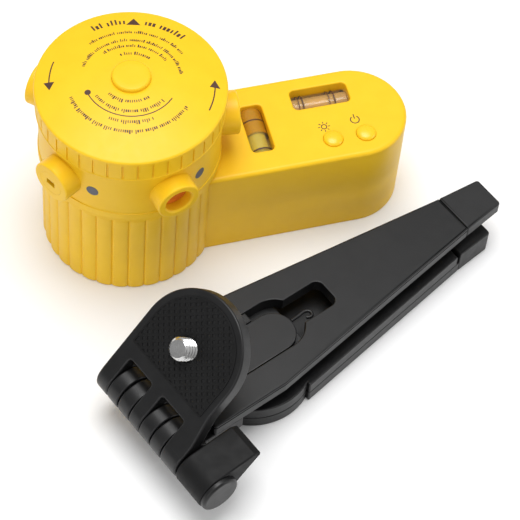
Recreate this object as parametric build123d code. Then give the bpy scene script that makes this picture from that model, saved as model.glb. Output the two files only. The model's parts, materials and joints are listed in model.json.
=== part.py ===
from build123d import *
import os

# A pocket laser level and the folding mini tripod it is sold with.
# Millimetres, +Z up. The origin is the centre of the level's drum at the mouth of its
# tripod socket, on the surface that both pieces stand on. +X runs along the level's arm.

# ---- level: driving dimensions ----
DRUM_R = 24.4            # over the crests of the flutes
DRUM_TOP = 32.8          # top of the flutes
DRUM_FLUTES = 33
FLUTE_R = 4.5            # radius of one convex flute
COLLAR_R = 24.9          # plain ring above the flutes
DECK_TOP = 34.0          # top of the drum
WALL = 1.8
ARM_END = 79.8
ARM_HALF_WIDTH = 15.3
ARM_TOP = 31.7
COVER_T = 2.2            # base cover thickness
COVER_GAP = 0.15

TURRET_BOTTOM = 34.2
TURRET_R = 25.0
TURRET_LEDGE_TOP = 36.7
TURRET_LEDGE_R = 25.3
BAND_BOTTOM = 52.4       # the grooved band runs from here up to the cap
BAND_TOP = 59.0
BAND_R = 25.6
BAND_GROOVES = 40
TURRET_WALL = 2.0
TURRET_DECK_BOTTOM = 54.0
TURRET_DECK_T = 2.0
CAP_R = 26.0
CAP_EDGE_TOP = 60.3
CAP_CROWN = 64.2         # top of the dome without its plug
PLUG_R = 5.3
PLUG_TOP = 65.3

WINDOWS = 5              # barrels round the turret
BEAM_Z = 44.4
BEAM_AZIMUTH = -77.0     # the window in use
BARREL_R = 6.1
BARREL_BORE_R = 3.8
BARREL_FACE = 29.6       # distance of a barrel's face from the axis

LASER_R = 4.0
VIAL_R = 3.6
BUTTON_R = 2.8
BUTTON_TRAVEL = 0.8
AAA_R = 5.25
AAA_L = 44.5
BATTERY_Z = COVER_T + 0.4 + AAA_R
BATTERY_START = 24.5
DOOR_X = (22.0, 70.6)
DOOR_HALF = 11.0
SOCKET_R = 3.175         # quarter-inch camera thread, major radius
SOCKET_DEPTH = 9.0

CROSS_VIAL_X = 36.4
LONG_VIAL_X = 56.8
LONG_VIAL_Y = 7.3
LAMP_BUTTON = (56.4, -8.2)
POWER_BUTTON = (66.0, -8.2)
CROSS_WINDOW = (6.5, 16.2)
LONG_WINDOW = (16.6, 6.9)
CROSS_VIAL_L = 18.5
LONG_VIAL_L = 19.0
VIAL_Z = ARM_TOP - 4.7
BOARD_X = (29.0, 71.0)
BOARD_Z = ARM_TOP - 13.2

# ---- tripod: driving dimensions, in its own frame: +X along the folded legs,
# ---- +Y to the left, +Z up, with Z = 0 under the lower legs ----
TRIPOD_X = -20.9
TRIPOD_Y = -75.7
TRIPOD_TURN = 22.8
HINGE_X = 10.0
HINGE_Z = 14.3
HINGE_R = 5.9
HINGE_LEFT = 15.5        # the plate's knuckles reach from here
HINGE_RIGHT = -19.6      # to here along the hinge
BOLT_R = 2.0
LEG_T = 3.9              # each of the two swinging legs
LEG_GAP = 0.2
SLAB_BOTTOM = 8.2
SLAB_TOP = 12.9
TOP_LEG_BOTTOM = 13.0
TOP_LEG_TOP = 17.0
TOP_LEG_START = 20.0
LATCH_BOTTOM = 14.6
SHOULDER_X = 44.0
SHOULDER_HALF = 16.3
TIP_SEAM_X = 116.6
TIP_SEAM_HALF = 6.4
TIP_END_X = 130.0
TIP_END_HALF = 5.0
PIVOT_X = 45.0
LEG_DISC_R = 17.3
LEG_ROOT_X = 52.5        # the straight part of a swinging leg starts here
LEG_ROOT_HALF = 16.8
LEG_SEAM_X = 114.0
LEG_SEAM_HALF = 8.0
MIDDLE_END_X = 112.8
LEG_END_X = 126.0
RIVET_R = 3.0
PLATE_TILT = 44.0        # angle of the camera plate above the legs at rest
PLATE_R = 16.7
PLATE_REACH = 21.9       # hinge axis to the plate's centre
PLATE_Y = -1.2           # the plate's centre line along the hinge
STUD_Y = -0.5            # the camera screw's place along the hinge
PLATE_T = 4.2
PAD_T = 0.6
PAD_BORDER = 2.0
SCREW_TOP = 10.4         # end of the camera screw above the hinge axis
STUD_REACH = 22.0        # hinge axis to the camera screw
SCREW_NECK_R = 3.0       # plain neck that lets the screw turn in the plate
LEVER_GAP = 0.5
LEVER_WIDTH = 10.5
LEVER_REACH = 13.4

BOTTOM = (Align.CENTER, Align.CENTER, Align.MIN)


def disc(radius, height, z=0.0, x=0.0, y=0.0):
    """A vertical cylinder standing on height z."""
    return Pos(x, y, z) * Cylinder(radius, height, align=BOTTOM)


def ring(outer, inner, height, z=0.0, x=0.0, y=0.0):
    return disc(outer, height, z, x, y) - disc(inner, height + 2, z - 1, x, y)


def block(x0, x1, y0, y1, z0, z1):
    centre = Pos((x0 + x1) / 2, (y0 + y1) / 2, (z0 + z1) / 2)
    return centre * Box(x1 - x0, y1 - y0, z1 - z0)


def rod_x(radius, x0, x1, y=0.0, z=0.0):
    """A cylinder that lies along X."""
    return Pos(x0, y, z) * Rot(0, 90, 0) * Cylinder(radius, x1 - x0, align=BOTTOM)


def rod_y(radius, y0, y1, x=0.0, z=0.0):
    """A cylinder that lies along Y."""
    return Pos(x, y0, z) * Rot(-90, 0, 0) * Cylinder(radius, y1 - y0, align=BOTTOM)


def prism(points, z0, z1):
    """A straight-sided plan outline raised from z0 to z1."""
    face = make_face(Polyline(*points, close=True))
    return Pos(0, 0, z0) * extrude(face, z1 - z0)


def radial(azimuth, shape):
    """Turns a shape that was made along +X to an azimuth round the drum's axis."""
    return Rot(0, 0, azimuth) * shape


def arm_plan(inset, z0, z1, start=0.0):
    """The arm's plan, straight sides and a half-round end, inset by the given amount."""
    half = ARM_HALF_WIDTH - inset
    centre = ARM_END - ARM_HALF_WIDTH
    return block(start, centre, -half, half, z0, z1) + disc(half, z1 - z0, z0, centre)


def top_edges(shape, z):
    return shape.edges().filter_by(lambda e: abs(e.bounding_box().min.Z - z) < 0.01
                                   and abs(e.bounding_box().max.Z - z) < 0.01)


# ------------------------------------------------------------------ level body

def fluted_drum():
    """The drum's outside: convex flutes between two plain cylinders."""
    core = disc(DRUM_R - 0.6, DRUM_TOP)
    crest = DRUM_R - FLUTE_R
    profile = Circle(DRUM_R - 0.6)
    for i in range(DRUM_FLUTES):
        profile += Rot(0, 0, 360 * i / DRUM_FLUTES) * Pos(crest, 0) * Circle(FLUTE_R)
    return core + extrude(profile, DRUM_TOP)


def vial_window(width, length, x, y):
    opening = extrude(RectangleRounded(width, length, 1.4), 12)
    return Pos(x, y, ARM_TOP - 6) * opening


def body_shell():
    """Drum and arm in one moulding, open underneath for the base cover."""
    arm = arm_plan(0, 0, ARM_TOP, 10)
    arm = fillet(top_edges(arm, ARM_TOP).filter_by(
        lambda e: e.bounding_box().max.X > 12), 1.2)
    shell = fluted_drum() + disc(COLLAR_R, DECK_TOP - DRUM_TOP, DRUM_TOP) + arm
    inside = disc(DRUM_R - 0.6 - WALL, DECK_TOP - 2.2)
    inside += arm_plan(WALL, 0, ARM_TOP - 2.0, 12)
    shell -= inside
    shell -= disc(8.6, 6, DECK_TOP - 4)
    shell -= vial_window(CROSS_WINDOW[0], CROSS_WINDOW[1], CROSS_VIAL_X, 0)
    shell -= vial_window(LONG_WINDOW[0], LONG_WINDOW[1], LONG_VIAL_X, LONG_VIAL_Y)
    shell -= place_cross(rod_x(VIAL_R + 0.05, -CROSS_VIAL_L / 2 - 0.1, CROSS_VIAL_L / 2 + 0.1))
    shell -= place_long(rod_x(VIAL_R + 0.05, -LONG_VIAL_L / 2 - 0.1, LONG_VIAL_L / 2 + 0.1))
    for x, y in (LAMP_BUTTON, POWER_BUTTON):
        shell -= disc(BUTTON_R + 0.1, 8, ARM_TOP - 4, x, y)
    for x, y in screw_places():
        roof = DECK_TOP if abs(x) < 20 else ARM_TOP
        shell += disc(2.8, roof - 1.0 - COVER_T, COVER_T, x, y)
        shell -= disc(1.0, 12, COVER_T - 0.1, x, y)
    ball_x, ball_y = detent_place()
    shell += disc(2.6, 5, DECK_TOP - 7, ball_x, ball_y) & inside
    shell -= disc(1.6, 6, DECK_TOP - 5.5, ball_x, ball_y)
    return shell


def screw_places():
    """Screws of the base cover: four under the drum and one at the arm's end."""
    return ((-14.5, 13.5), (-14.5, -13.5), (14.5, 13.5), (14.5, -13.5), (74.6, 0))


def detent_place():
    return (0.0, 19.4)


def door_plan(inset, z0, z1):
    return block(DOOR_X[0] + inset, DOOR_X[1] - inset, -DOOR_HALF + inset, DOOR_HALF - inset,
                 z0, z1)


def base_cover():
    """Closes the drum and the arm from below, with the frame of the battery door."""
    plate = disc(DRUM_R - 0.6 - WALL - COVER_GAP, COVER_T)
    plate += arm_plan(WALL + COVER_GAP, 0, COVER_T, 12)
    plate += disc(SOCKET_R + 3.4, 11, 0)
    plate -= door_plan(1.0, -1, COVER_T + 1)
    plate -= door_plan(0, -1, 1.3)
    plate -= disc(SOCKET_R + 1.8, SOCKET_DEPTH + 0.1, -0.1)
    for x, y in screw_places():
        plate -= disc(1.2, 5, -1, x, y)
        plate -= disc(2.3, 1.2, -0.1, x, y)
    return plate


def battery_door():
    """Lid that unclips downwards from the base cover."""
    panel = door_plan(0.35, 0.15, 1.25) + door_plan(1.35, 1.2, 2.2)
    for i in range(5):
        panel -= block(58 + 2 * i, 59 + 2 * i, -6, 6, 0, 0.5)
    return panel


def cover_screws():
    solids = []
    for x, y in screw_places():
        head = disc(2.1, 0.95, 0.15, x, y) - block(x - 1.6, x + 1.6, y - 0.25, y + 0.25, 0, 0.6)
        solids.append(head + disc(1.0, 9, 1.0, x, y))
    return solids


def tripod_insert():
    """Brass quarter-inch socket pressed into the base cover."""
    body = disc(SOCKET_R + 1.8, SOCKET_DEPTH, 0.0)
    return body - disc(SOCKET_R, SOCKET_DEPTH - 0.9, -0.1)


# ------------------------------------------------------------------ turret

def window_azimuths():
    return [BEAM_AZIMUTH + 360 * i / WINDOWS for i in range(WINDOWS)]


def turret_skirt():
    """The rotating head's wall, its five barrels and the inner deck that it turns on."""
    wall = disc(TURRET_R, BAND_TOP - TURRET_BOTTOM, TURRET_BOTTOM)
    wall += disc(TURRET_LEDGE_R, TURRET_LEDGE_TOP - TURRET_BOTTOM, TURRET_BOTTOM)
    wall += disc(BAND_R, BAND_TOP - BAND_BOTTOM, BAND_BOTTOM)
    for azimuth in window_azimuths():
        wall += radial(azimuth, rod_x(BARREL_R, 15, BARREL_FACE, 0, BEAM_Z))
    inner = TURRET_R - TURRET_WALL
    wall -= disc(inner, TURRET_DECK_BOTTOM - TURRET_BOTTOM + 1, TURRET_BOTTOM - 1)
    wall -= disc(inner, 10, TURRET_DECK_BOTTOM + TURRET_DECK_T)
    wall += ring(inner + 0.5, 18.2, 1.2, TURRET_BOTTOM)
    wall += ring(6.0, 3.1, 4.0, TURRET_DECK_BOTTOM - 2.0)
    for azimuth in window_azimuths():
        wall -= radial(azimuth, rod_x(BARREL_BORE_R, 15, BARREL_FACE + 1, 0, BEAM_Z))
    for i in range(BAND_GROOVES):
        groove = block(BAND_R - 0.35, BAND_R + 1, -0.3, 0.3, BAND_BOTTOM + 0.4, BAND_TOP + 1)
        wall -= radial(360 * i / BAND_GROOVES, groove)
    wall -= disc(3.1, 12, TURRET_DECK_BOTTOM - 4)
    ball_x, ball_y = detent_place()
    for i in range(WINDOWS):
        dimple = Pos(ball_x, ball_y, TURRET_BOTTOM - 0.9) * Sphere(1.5)
        wall -= Rot(0, 0, 360 * i / WINDOWS) * dimple
    return wall


def head_cap():
    """Domed cover of the turret with a seat for the centre plug."""
    rise = CAP_CROWN - CAP_EDGE_TOP
    dome_r = (CAP_R ** 2 + rise ** 2) / (2 * rise)
    blank = disc(CAP_R, CAP_CROWN - BAND_TOP, BAND_TOP)
    dome = Pos(0, 0, CAP_CROWN - dome_r) * Sphere(dome_r)
    cap = blank & dome
    cap = fillet(cap.edges().filter_by(lambda e: e.bounding_box().max.X > CAP_R - 0.1
                                       and e.bounding_box().min.Z > BAND_TOP + 0.5), 0.6)
    hollow = disc(TURRET_R - TURRET_WALL - 0.1, 1.4, BAND_TOP - 1)
    hollow += (disc(CAP_R, CAP_CROWN, BAND_TOP - 1) & Pos(0, 0, -1.8) * dome
               & disc(TURRET_R - TURRET_WALL - 1.5, 20, BAND_TOP - 1))
    cap -= hollow
    cap += ring(TURRET_R - TURRET_WALL - 0.1, TURRET_R - TURRET_WALL - 1.5, 2.6, BAND_TOP - 2.4)
    cap -= disc(PLUG_R - 1.5, 10, BAND_TOP)
    cap -= disc(PLUG_R + 0.05, 5, CAP_CROWN - 0.9)
    return cap


def centre_plug():
    plug = disc(PLUG_R, PLUG_TOP - CAP_CROWN + 0.9, CAP_CROWN - 0.9)
    plug = fillet(top_edges(plug, PLUG_TOP), 0.5)
    return plug + disc(PLUG_R - 1.6, 1.2, CAP_CROWN - 2.0)


def window_insert(kind):
    """Face plate of one barrel, made along +X, with the opening that shapes its beam."""
    plate = rod_x(BARREL_BORE_R - 0.03, BARREL_FACE - 2.0, BARREL_FACE - 0.1, 0, BEAM_Z)
    reach = BARREL_FACE - 3
    if kind == "upright":
        plate -= block(reach, reach + 5, -0.5, 0.5, BEAM_Z - 1.6, BEAM_Z + 1.6)
    if kind == "level":
        plate -= block(reach, reach + 5, -1.6, 1.6, BEAM_Z - 0.5, BEAM_Z + 0.5)
    if kind == "cross":
        plate -= block(reach, reach + 5, -0.4, 0.4, BEAM_Z - 1.8, BEAM_Z + 1.8)
        plate -= block(reach, reach + 5, -1.8, 1.8, BEAM_Z - 0.4, BEAM_Z + 0.4)
    if kind == "wide":
        plate -= block(reach, reach + 5, -1.5, 1.5, BEAM_Z - 1.0, BEAM_Z + 1.0)
    return plate


def dot_window():
    """Amber lens set back in the barrel in use."""
    lens = rod_x(BARREL_BORE_R - 0.03, BARREL_FACE - 4.2, BARREL_FACE - 2.6, 0, BEAM_Z)
    return radial(BEAM_AZIMUTH, lens)


def line_rods():
    """Glass rods behind the four plates that spread the beam into lines."""
    solids = []
    for i, azimuth in enumerate(window_azimuths()[1:]):
        rod = Pos(BARREL_FACE - 4.0, 0, BEAM_Z) * Cylinder(1.3, 6.0)
        if i % 2:
            rod = Pos(BARREL_FACE - 4.0, 0, BEAM_Z) * Rot(90, 0, 0) * Cylinder(1.3, 6.0)
        solids.append(radial(azimuth, rod))
    return solids


def laser_post():
    """Fixed post on the drum's deck: it holds the laser and the turret's pivot."""
    post = disc(14.0, 1.8, DECK_TOP - 4.1) & disc(22.0, 3, DECK_TOP - 4.1)
    post += disc(8.5, 54.0 - DECK_TOP - 0.2, DECK_TOP - 2.4)
    post += disc(3.0, 4.4, 51.0)
    post -= radial(BEAM_AZIMUTH, rod_x(LASER_R + 0.03, -5.0, 12, 0, BEAM_Z))
    post -= disc(1.0, 10, 50.0)
    post -= disc(2.6, 16, DECK_TOP - 5)
    return post


def laser_barrel():
    tube = rod_x(LASER_R, -5.0, 14.0, 0, BEAM_Z) - rod_x(3.0, -6.0, 12.6, 0, BEAM_Z)
    tube -= rod_x(2.2, 0, 15, 0, BEAM_Z)
    return radial(BEAM_AZIMUTH, tube)


def collimating_lens():
    return radial(BEAM_AZIMUTH, rod_x(2.97, 10.4, 12.5, 0, BEAM_Z))


def laser_diode():
    can = rod_x(2.7, -2.0, -0.8, 0, BEAM_Z) + rod_x(1.9, -0.9, 1.8, 0, BEAM_Z)
    for y, z in ((0.9, -0.6), (-0.9, -0.6), (0, 1.0)):
        can += rod_x(0.25, -4.6, -1.9, y, BEAM_Z + z)
    return radial(BEAM_AZIMUTH, can)


def turret_screw():
    screw = disc(1.0, 6.0, 50.5) + disc(2.4, 1.5, 56.6)
    return screw + disc(1.0, 1.0, 56.0) - block(-2, 2, -0.3, 0.3, 57.4, 59)


def turret_washer():
    return ring(5.0, 1.05, 0.5, 56.1)


def detent_ball():
    ball_x, ball_y = detent_place()
    return Pos(ball_x, ball_y, DECK_TOP - 1.55) * Sphere(1.5)


def detent_spring():
    """Coil under the detent ball, drawn as closed rings on a thin strip."""
    ball_x, ball_y = detent_place()
    bottom = DECK_TOP - 5.3
    coil = Pos(ball_x + 1.1, ball_y, bottom) * Box(0.3, 0.3, 1.9, align=BOTTOM)
    for i in range(4):
        coil += Pos(ball_x, ball_y, bottom + 0.2 + 0.48 * i) * Torus(1.1, 0.17)
    return coil


def laser_leads():
    """Two wires from the laser diode down the post and across to the circuit board."""
    solids = []
    for side in (-1, 1):
        y = 0.7 * side
        points = ((0.4, y, 40.3), (0.4, y, 24.0), (31.0, y, 23.0), (31.4, y, BOARD_Z + 1.25))
        path = FilletPolyline(*points, radius=0.9)
        section = Plane(origin=path @ 0, z_dir=path % 0) * Circle(0.4)
        solids.append(sweep(section, path=path))
    return solids


# ------------------------------------------------------------------ vials, buttons, electrics

def vial(length):
    """Closed acrylic tube that holds the fluid, made along +X about the origin."""
    return rod_x(VIAL_R, -length / 2, length / 2) - rod_x(
        VIAL_R - 0.7, -length / 2 + 1.2, length / 2 - 1.2)


def vial_fluid(length):
    """Spirit with a bubble cut out of its upper side."""
    fluid = rod_x(VIAL_R - 0.75, -length / 2 + 1.3, length / 2 - 1.3)
    bubble = rod_x(1.15, -2.0, 2.0, 0, VIAL_R - 1.5) + Pos(-2, 0, VIAL_R - 1.5) * Sphere(1.15)
    bubble += Pos(2, 0, VIAL_R - 1.5) * Sphere(1.15)
    return fluid - bubble


def place_cross(shape):
    return Pos(CROSS_VIAL_X, 0, VIAL_Z) * Rot(0, 0, 90) * shape


def place_long(shape):
    return Pos(LONG_VIAL_X, LONG_VIAL_Y, VIAL_Z) * shape


def vial_cradle(length):
    """Open trough under a vial, made along +X about the vial's axis."""
    base = block(-length / 2, length / 2, -VIAL_R - 0.9, VIAL_R + 0.9, -VIAL_R - 1.0, -0.2)
    base -= rod_x(VIAL_R + 0.03, -length / 2 - 1, length / 2 + 1)
    foot = BOARD_Z + 1.25 - VIAL_Z
    legs = block(-length / 2, -length / 2 + 1.5, -1.5, 1.5, foot, -VIAL_R - 0.9)
    return base + legs + mirror(legs, Plane.YZ)


def button(place):
    """Domed push button with a flange that keeps it in the shell."""
    x, y = place
    stem = disc(BUTTON_R, 4.2, ARM_TOP - 3.4, x, y)
    dome = stem & Pos(x, y, ARM_TOP + 1.2 - 4.8) * Sphere(4.8)
    flange = disc(BUTTON_R + 1.0, 0.9, ARM_TOP - 3.4, x, y)
    return dome + flange + disc(1.2, 1.0, ARM_TOP - 4.3, x, y)


def tact_switch(place):
    x, y = place
    base_z = BOARD_Z + 1.2
    body = Pos(x, y, base_z) * Box(6.0, 6.0, 3.2, align=BOTTOM)
    return body + disc(1.7, ARM_TOP - 5.3 - base_z - 3.1, base_z + 3.1, x, y)


def circuit_board():
    board = block(BOARD_X[0], BOARD_X[1], -12.8, 12.8, BOARD_Z, BOARD_Z + 1.2)
    board &= arm_plan(WALL + 0.4, 0, ARM_TOP, 10)
    for x, y in board_pegs():
        board -= disc(1.1, 4, BOARD_Z - 1, x, y)
    return board


def board_pegs():
    """Places of the battery tray's pegs, which carry the circuit board."""
    return ((32, -11), (32, 11), (48, -11), (48, 11))


def vial_lamps():
    """Two small lamps on the board that light the vials from below."""
    solids = []
    for x, y in ((CROSS_VIAL_X, 0), (LONG_VIAL_X, LONG_VIAL_Y)):
        lamp = disc(1.0, 0.9, BOARD_Z + 1.25, x, y) + Pos(x, y, BOARD_Z + 2.2) * Sphere(0.9)
        solids.append(lamp)
    return solids


def battery(side):
    """One AAA cell, its positive nub towards +X or -X."""
    y = side * (AAA_R + 0.15)
    cell = rod_x(AAA_R, BATTERY_START, BATTERY_START + AAA_L - 0.8, y, BATTERY_Z)
    nub_x = BATTERY_START + AAA_L - 0.9
    return cell + rod_x(1.9, nub_x, nub_x + 0.9, y, BATTERY_Z)


def contact_bridge():
    """Sheet-metal strip that joins the cells at the arm's far end."""
    x = BATTERY_START + AAA_L + 0.05
    return block(x, x + 0.4, -8.5, 8.5, BATTERY_Z - 3, BATTERY_Z + 3)


def contact_springs():
    """Cone springs that press on the cells' flat ends, as short tapered buttons."""
    solids = []
    for side in (-1, 1):
        y = side * (AAA_R + 0.15)
        cone = Pos(BATTERY_START - 2.0, y, BATTERY_Z) * Rot(0, 90, 0) * Cone(
            3.2, 1.6, 1.95, align=BOTTOM)
        solids.append(cone - rod_x(1.0, BATTERY_START - 3, BATTERY_START + 1, y, BATTERY_Z))
    return solids


def battery_tray():
    """Cradle over the cells, with the end walls that carry the contacts."""
    x0 = BATTERY_START - 3.4
    x1 = BATTERY_START + AAA_L + 1.9
    roof_z = BATTERY_Z + AAA_R + 0.3
    peg_top = BOARD_Z + 1.7
    tray = block(x0, x1, -11.6, 11.6, roof_z, roof_z + 1.2)
    tray += block(x0, x0 + 1.3, -11.6, 11.6, COVER_T + 0.3, roof_z + 0.1)
    tray += block(x1 - 1.3, x1, -8.9, 8.9, COVER_T + 0.3, roof_z + 0.1)
    for x, y in board_pegs():
        tray += disc(1.8, BOARD_Z - roof_z - 1.1, roof_z + 1.1, x, y)
        tray += disc(1.05, peg_top - roof_z - 1.1, roof_z + 1.1, x, y)
    return tray & arm_plan(WALL + 0.2, 0, ARM_TOP, 10)


# ------------------------------------------------------------------ tripod

def to_world(shape):
    """Lays a piece of the tripod beside the level."""
    return Pos(TRIPOD_X, TRIPOD_Y, 0) * Rot(0, 0, TRIPOD_TURN) * shape


def to_plate(shape):
    """Tilts a piece of the camera plate up about the hinge.

    Plate pieces are made with the hinge axis along Y through the origin."""
    return to_world(Pos(HINGE_X, 0, HINGE_Z) * Rot(0, -PLATE_TILT, 0) * shape)


def knuckle_spans():
    """Stretches of the hinge: the plate's three knuckles and the block's two pairs."""
    plate = ((HINGE_RIGHT, -13.1), (-3.6, 0.9), (10.6, HINGE_LEFT))
    base = ((-12.9, -8.6), (-8.2, -3.8), (1.1, 5.6), (6.1, 10.4))
    return plate, base


def hinge_block():
    """Base knuckles, web and the slab that the legs are riveted to."""
    part = block(HINGE_X + HINGE_R + 0.6, 58, -11.5, 11.5, SLAB_BOTTOM, SLAB_TOP)
    part = fillet(part.edges().filter_by(Axis.Z).sort_by(Axis.X)[-2:], 6)
    part += block(HINGE_X + HINGE_R + 0.6, 30, -16.2, 16.2, SLAB_BOTTOM, SLAB_TOP)
    _, base = knuckle_spans()
    for y0, y1 in base:
        part += rod_y(HINGE_R, y0, y1, HINGE_X, HINGE_Z)
        part += block(HINGE_X, HINGE_X + HINGE_R + 1.2, y0, y1, HINGE_Z - HINGE_R, SLAB_TOP)
    part -= rod_y(BOLT_R + 0.04, HINGE_RIGHT, HINGE_LEFT, HINGE_X, HINGE_Z)
    part -= disc(RIVET_R, 20, 0, PIVOT_X)
    return part - screw_bores()


def top_leg():
    """Wedge-shaped upper leg with the keyhole window for the latch."""
    outline = [(TOP_LEG_START, SHOULDER_HALF), (SHOULDER_X, SHOULDER_HALF),
               (TIP_SEAM_X, TIP_SEAM_HALF), (TIP_SEAM_X, -TIP_SEAM_HALF),
               (SHOULDER_X, -SHOULDER_HALF), (TOP_LEG_START, -SHOULDER_HALF)]
    leg = prism(outline, TOP_LEG_BOTTOM, TOP_LEG_TOP)
    leg = chamfer(top_edges(leg, TOP_LEG_TOP), 0.5)
    leg -= keyhole(0, TOP_LEG_BOTTOM - 1, TOP_LEG_TOP + 1)
    leg -= screw_bores()
    leg -= block(TIP_SEAM_X - 4, TIP_SEAM_X + 1, -2.5, 2.5, TOP_LEG_BOTTOM + 1, TOP_LEG_TOP - 1)
    return leg


def keyhole(inset, z0, z1):
    """Window outline: a wide stretch, a rounded shoulder and a narrow head."""
    wide = block(37, 53, -8 + inset, 8 - inset, z0, z1) + disc(8 - inset, z1 - z0, z0, 53)
    head = block(53, 71.5 - inset, -4.0 + inset, 4.9 - inset, z0, z1)
    head = fillet(head.edges().filter_by(Axis.Z).sort_by(Axis.X)[-2:], 2.2)
    return wide + head


def leg_latch():
    """Springy tongue in the keyhole that locks the lower legs."""
    tongue = block(37.1, 51, -7.9, 4.9, LATCH_BOTTOM, TOP_LEG_TOP - 0.3)
    end = disc(6.4, TOP_LEG_TOP - 0.3 - LATCH_BOTTOM, LATCH_BOTTOM, 51, -1.5)
    tongue += end & block(50, 60, -9, 9, 0, 30)
    root = block(37.1, 48.4, 4.8, 7.9, LATCH_BOTTOM, TOP_LEG_TOP - 0.05)
    foot = block(37.1, 40, -7.9, 7.9, SLAB_TOP + 0.05, TOP_LEG_TOP - 0.3)
    return tongue + root + foot


def latch_spring():
    """Small bent wire that holds the latch's nose down."""
    z = TOP_LEG_BOTTOM + 1.9
    path = Polyline((58.5, -0.6, z), (62.5, -0.6, z), (64.0, -1.8, z), (62.6, -2.9, z))
    section = Plane(origin=path @ 0, z_dir=path % 0) * Circle(0.4)
    return sweep(section, path=path, transition=Transition.ROUND)


def tip(x0, x1, half0, half1, y0, y1, z0, z1):
    """Rubber tip of a leg: a tapered block between two heights."""
    outline = [(x0, y1 * half0), (x1, y1 * half1), (x1, y0 * half1), (x0, y0 * half0)]
    solid = prism(outline, z0, z1)
    far = solid.edges().filter_by(Axis.Z).sort_by(Axis.X)[-2:]
    return fillet(far, 0.8)


def top_leg_tip():
    block_end = tip(TIP_SEAM_X + 0.15, TIP_END_X, TIP_SEAM_HALF, TIP_END_HALF, -1, 1,
                    TOP_LEG_BOTTOM, TOP_LEG_TOP)
    return block_end + block(TIP_SEAM_X - 3.9, TIP_SEAM_X + 0.5, -2.4, 2.4,
                             TOP_LEG_BOTTOM + 1.05, TOP_LEG_TOP - 1.05)


def swing_leg(z0, end_x):
    """Flat leg that swings about the rivet: a round root and a wedge-shaped bar."""
    share = (end_x - LEG_ROOT_X) / (LEG_SEAM_X - LEG_ROOT_X)
    end_half = LEG_ROOT_HALF + share * (LEG_SEAM_HALF - LEG_ROOT_HALF)
    outline = [(LEG_ROOT_X, LEG_ROOT_HALF), (end_x, end_half), (end_x, -end_half),
               (LEG_ROOT_X, -LEG_ROOT_HALF)]
    leg = disc(LEG_DISC_R, LEG_T, z0, PIVOT_X) + prism(outline, z0, z0 + LEG_T)
    return leg - disc(RIVET_R + 0.06, LEG_T + 2, z0 - 1, PIVOT_X)


def lower_leg():
    leg = swing_leg(0, LEG_SEAM_X)
    return leg - block(LEG_SEAM_X - 4, LEG_SEAM_X + 1, -4, 4, 1.0, LEG_T - 1.0)


def lower_leg_tip():
    """Rubber tip as high as both swinging legs."""
    end = tip(LEG_SEAM_X + 0.15, LEG_END_X, LEG_SEAM_HALF, 7.0, -1, 1, 0, 2 * LEG_T + LEG_GAP)
    return end + block(LEG_SEAM_X - 3.9, LEG_SEAM_X + 0.5, -3.9, 3.9, 1.05, LEG_T - 1.05)


def middle_leg():
    z0 = LEG_T + LEG_GAP
    leg = swing_leg(z0, MIDDLE_END_X)
    return leg - disc(3.05, 1.2, z0 - 0.1, MIDDLE_END_X - 7)


def middle_leg_foot():
    """Rubber disc let into the underside of the middle leg's end."""
    return disc(3.0, 1.05, LEG_T + LEG_GAP, MIDDLE_END_X - 7)


def leg_rivet():
    rivet = disc(RIVET_R, TOP_LEG_BOTTOM - 0.2, 0.3, PIVOT_X)
    return rivet + disc(RIVET_R + 1.7, 1.3, TOP_LEG_BOTTOM, PIVOT_X)


def leg_screws():
    """Two countersunk screws that hold the top leg on the hinge block's slab."""
    solids = []
    for y in (-7.0, 7.0):
        head = Pos(26, y, SLAB_BOTTOM + 0.1) * Cone(2.4, 1.2, 1.3, align=BOTTOM)
        solids.append(head + disc(1.2, 6.0, SLAB_BOTTOM + 1.3, 26, y))
    return solids


def screw_bores():
    bores = disc(1.2, 6.2, SLAB_BOTTOM + 1.3, 26, -7.0)
    bores += Pos(26, -7.0, SLAB_BOTTOM - 0.1) * Cone(2.6, 1.2, 1.5, align=BOTTOM)
    return bores + mirror(bores, Plane.XZ)


def camera_plate():
    """Round plate with straight sides down to its three hinge knuckles."""
    top = HINGE_R
    bottom = HINGE_R - PLATE_T
    height = top - bottom
    plate = disc(PLATE_R, height, bottom, PLATE_REACH, PLATE_Y)
    plate += block(0, PLATE_REACH, PLATE_Y - PLATE_R, PLATE_Y + PLATE_R, bottom, top)
    plate += prism([(0, HINGE_LEFT), (14, HINGE_LEFT), (14, PLATE_Y - PLATE_R), (5, HINGE_RIGHT),
                    (0, HINGE_RIGHT)], bottom, top)
    knuckles, base = knuckle_spans()
    for outer, inner in ((base[0], base[1]), (base[2], base[3])):
        plate -= block(-1, HINGE_R + 2.2, outer[0] - 0.2, inner[1] + 0.2, -20, 20)
    for y0, y1 in knuckles:
        plate += rod_y(HINGE_R, y0, y1, 0, 0)
    plate -= rod_y(BOLT_R + 0.04, HINGE_RIGHT - 1, HINGE_LEFT + 1)
    plate -= hexagon(7.7, HINGE_LEFT - 2.5, HINGE_LEFT + 1)
    plate -= pad_plan(0.0, top - PAD_T, top + 1)
    plate -= disc(SOCKET_R + 0.05, 20, -5, STUD_REACH, STUD_Y)
    plate -= disc(5.6, 1.9, bottom - 0.1, STUD_REACH, STUD_Y)
    return plate


def pad_plan(inset, z0, z1):
    """Round pad cut off square above the knuckles."""
    radius = PLATE_R - PAD_BORDER - inset
    plan = disc(radius, z1 - z0, z0, PLATE_REACH, PLATE_Y)
    plan += block(12, PLATE_REACH, PLATE_Y - radius, PLATE_Y + radius, z0, z1)
    return plan - block(0, 12 + inset, -30, 30, z0 - 1, z1 + 1)


def plate_pad():
    pad = pad_plan(0.05, HINGE_R - PAD_T, HINGE_R + 0.25)
    return pad - disc(SOCKET_R + 0.25, 20, 0, STUD_REACH, STUD_Y)


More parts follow.
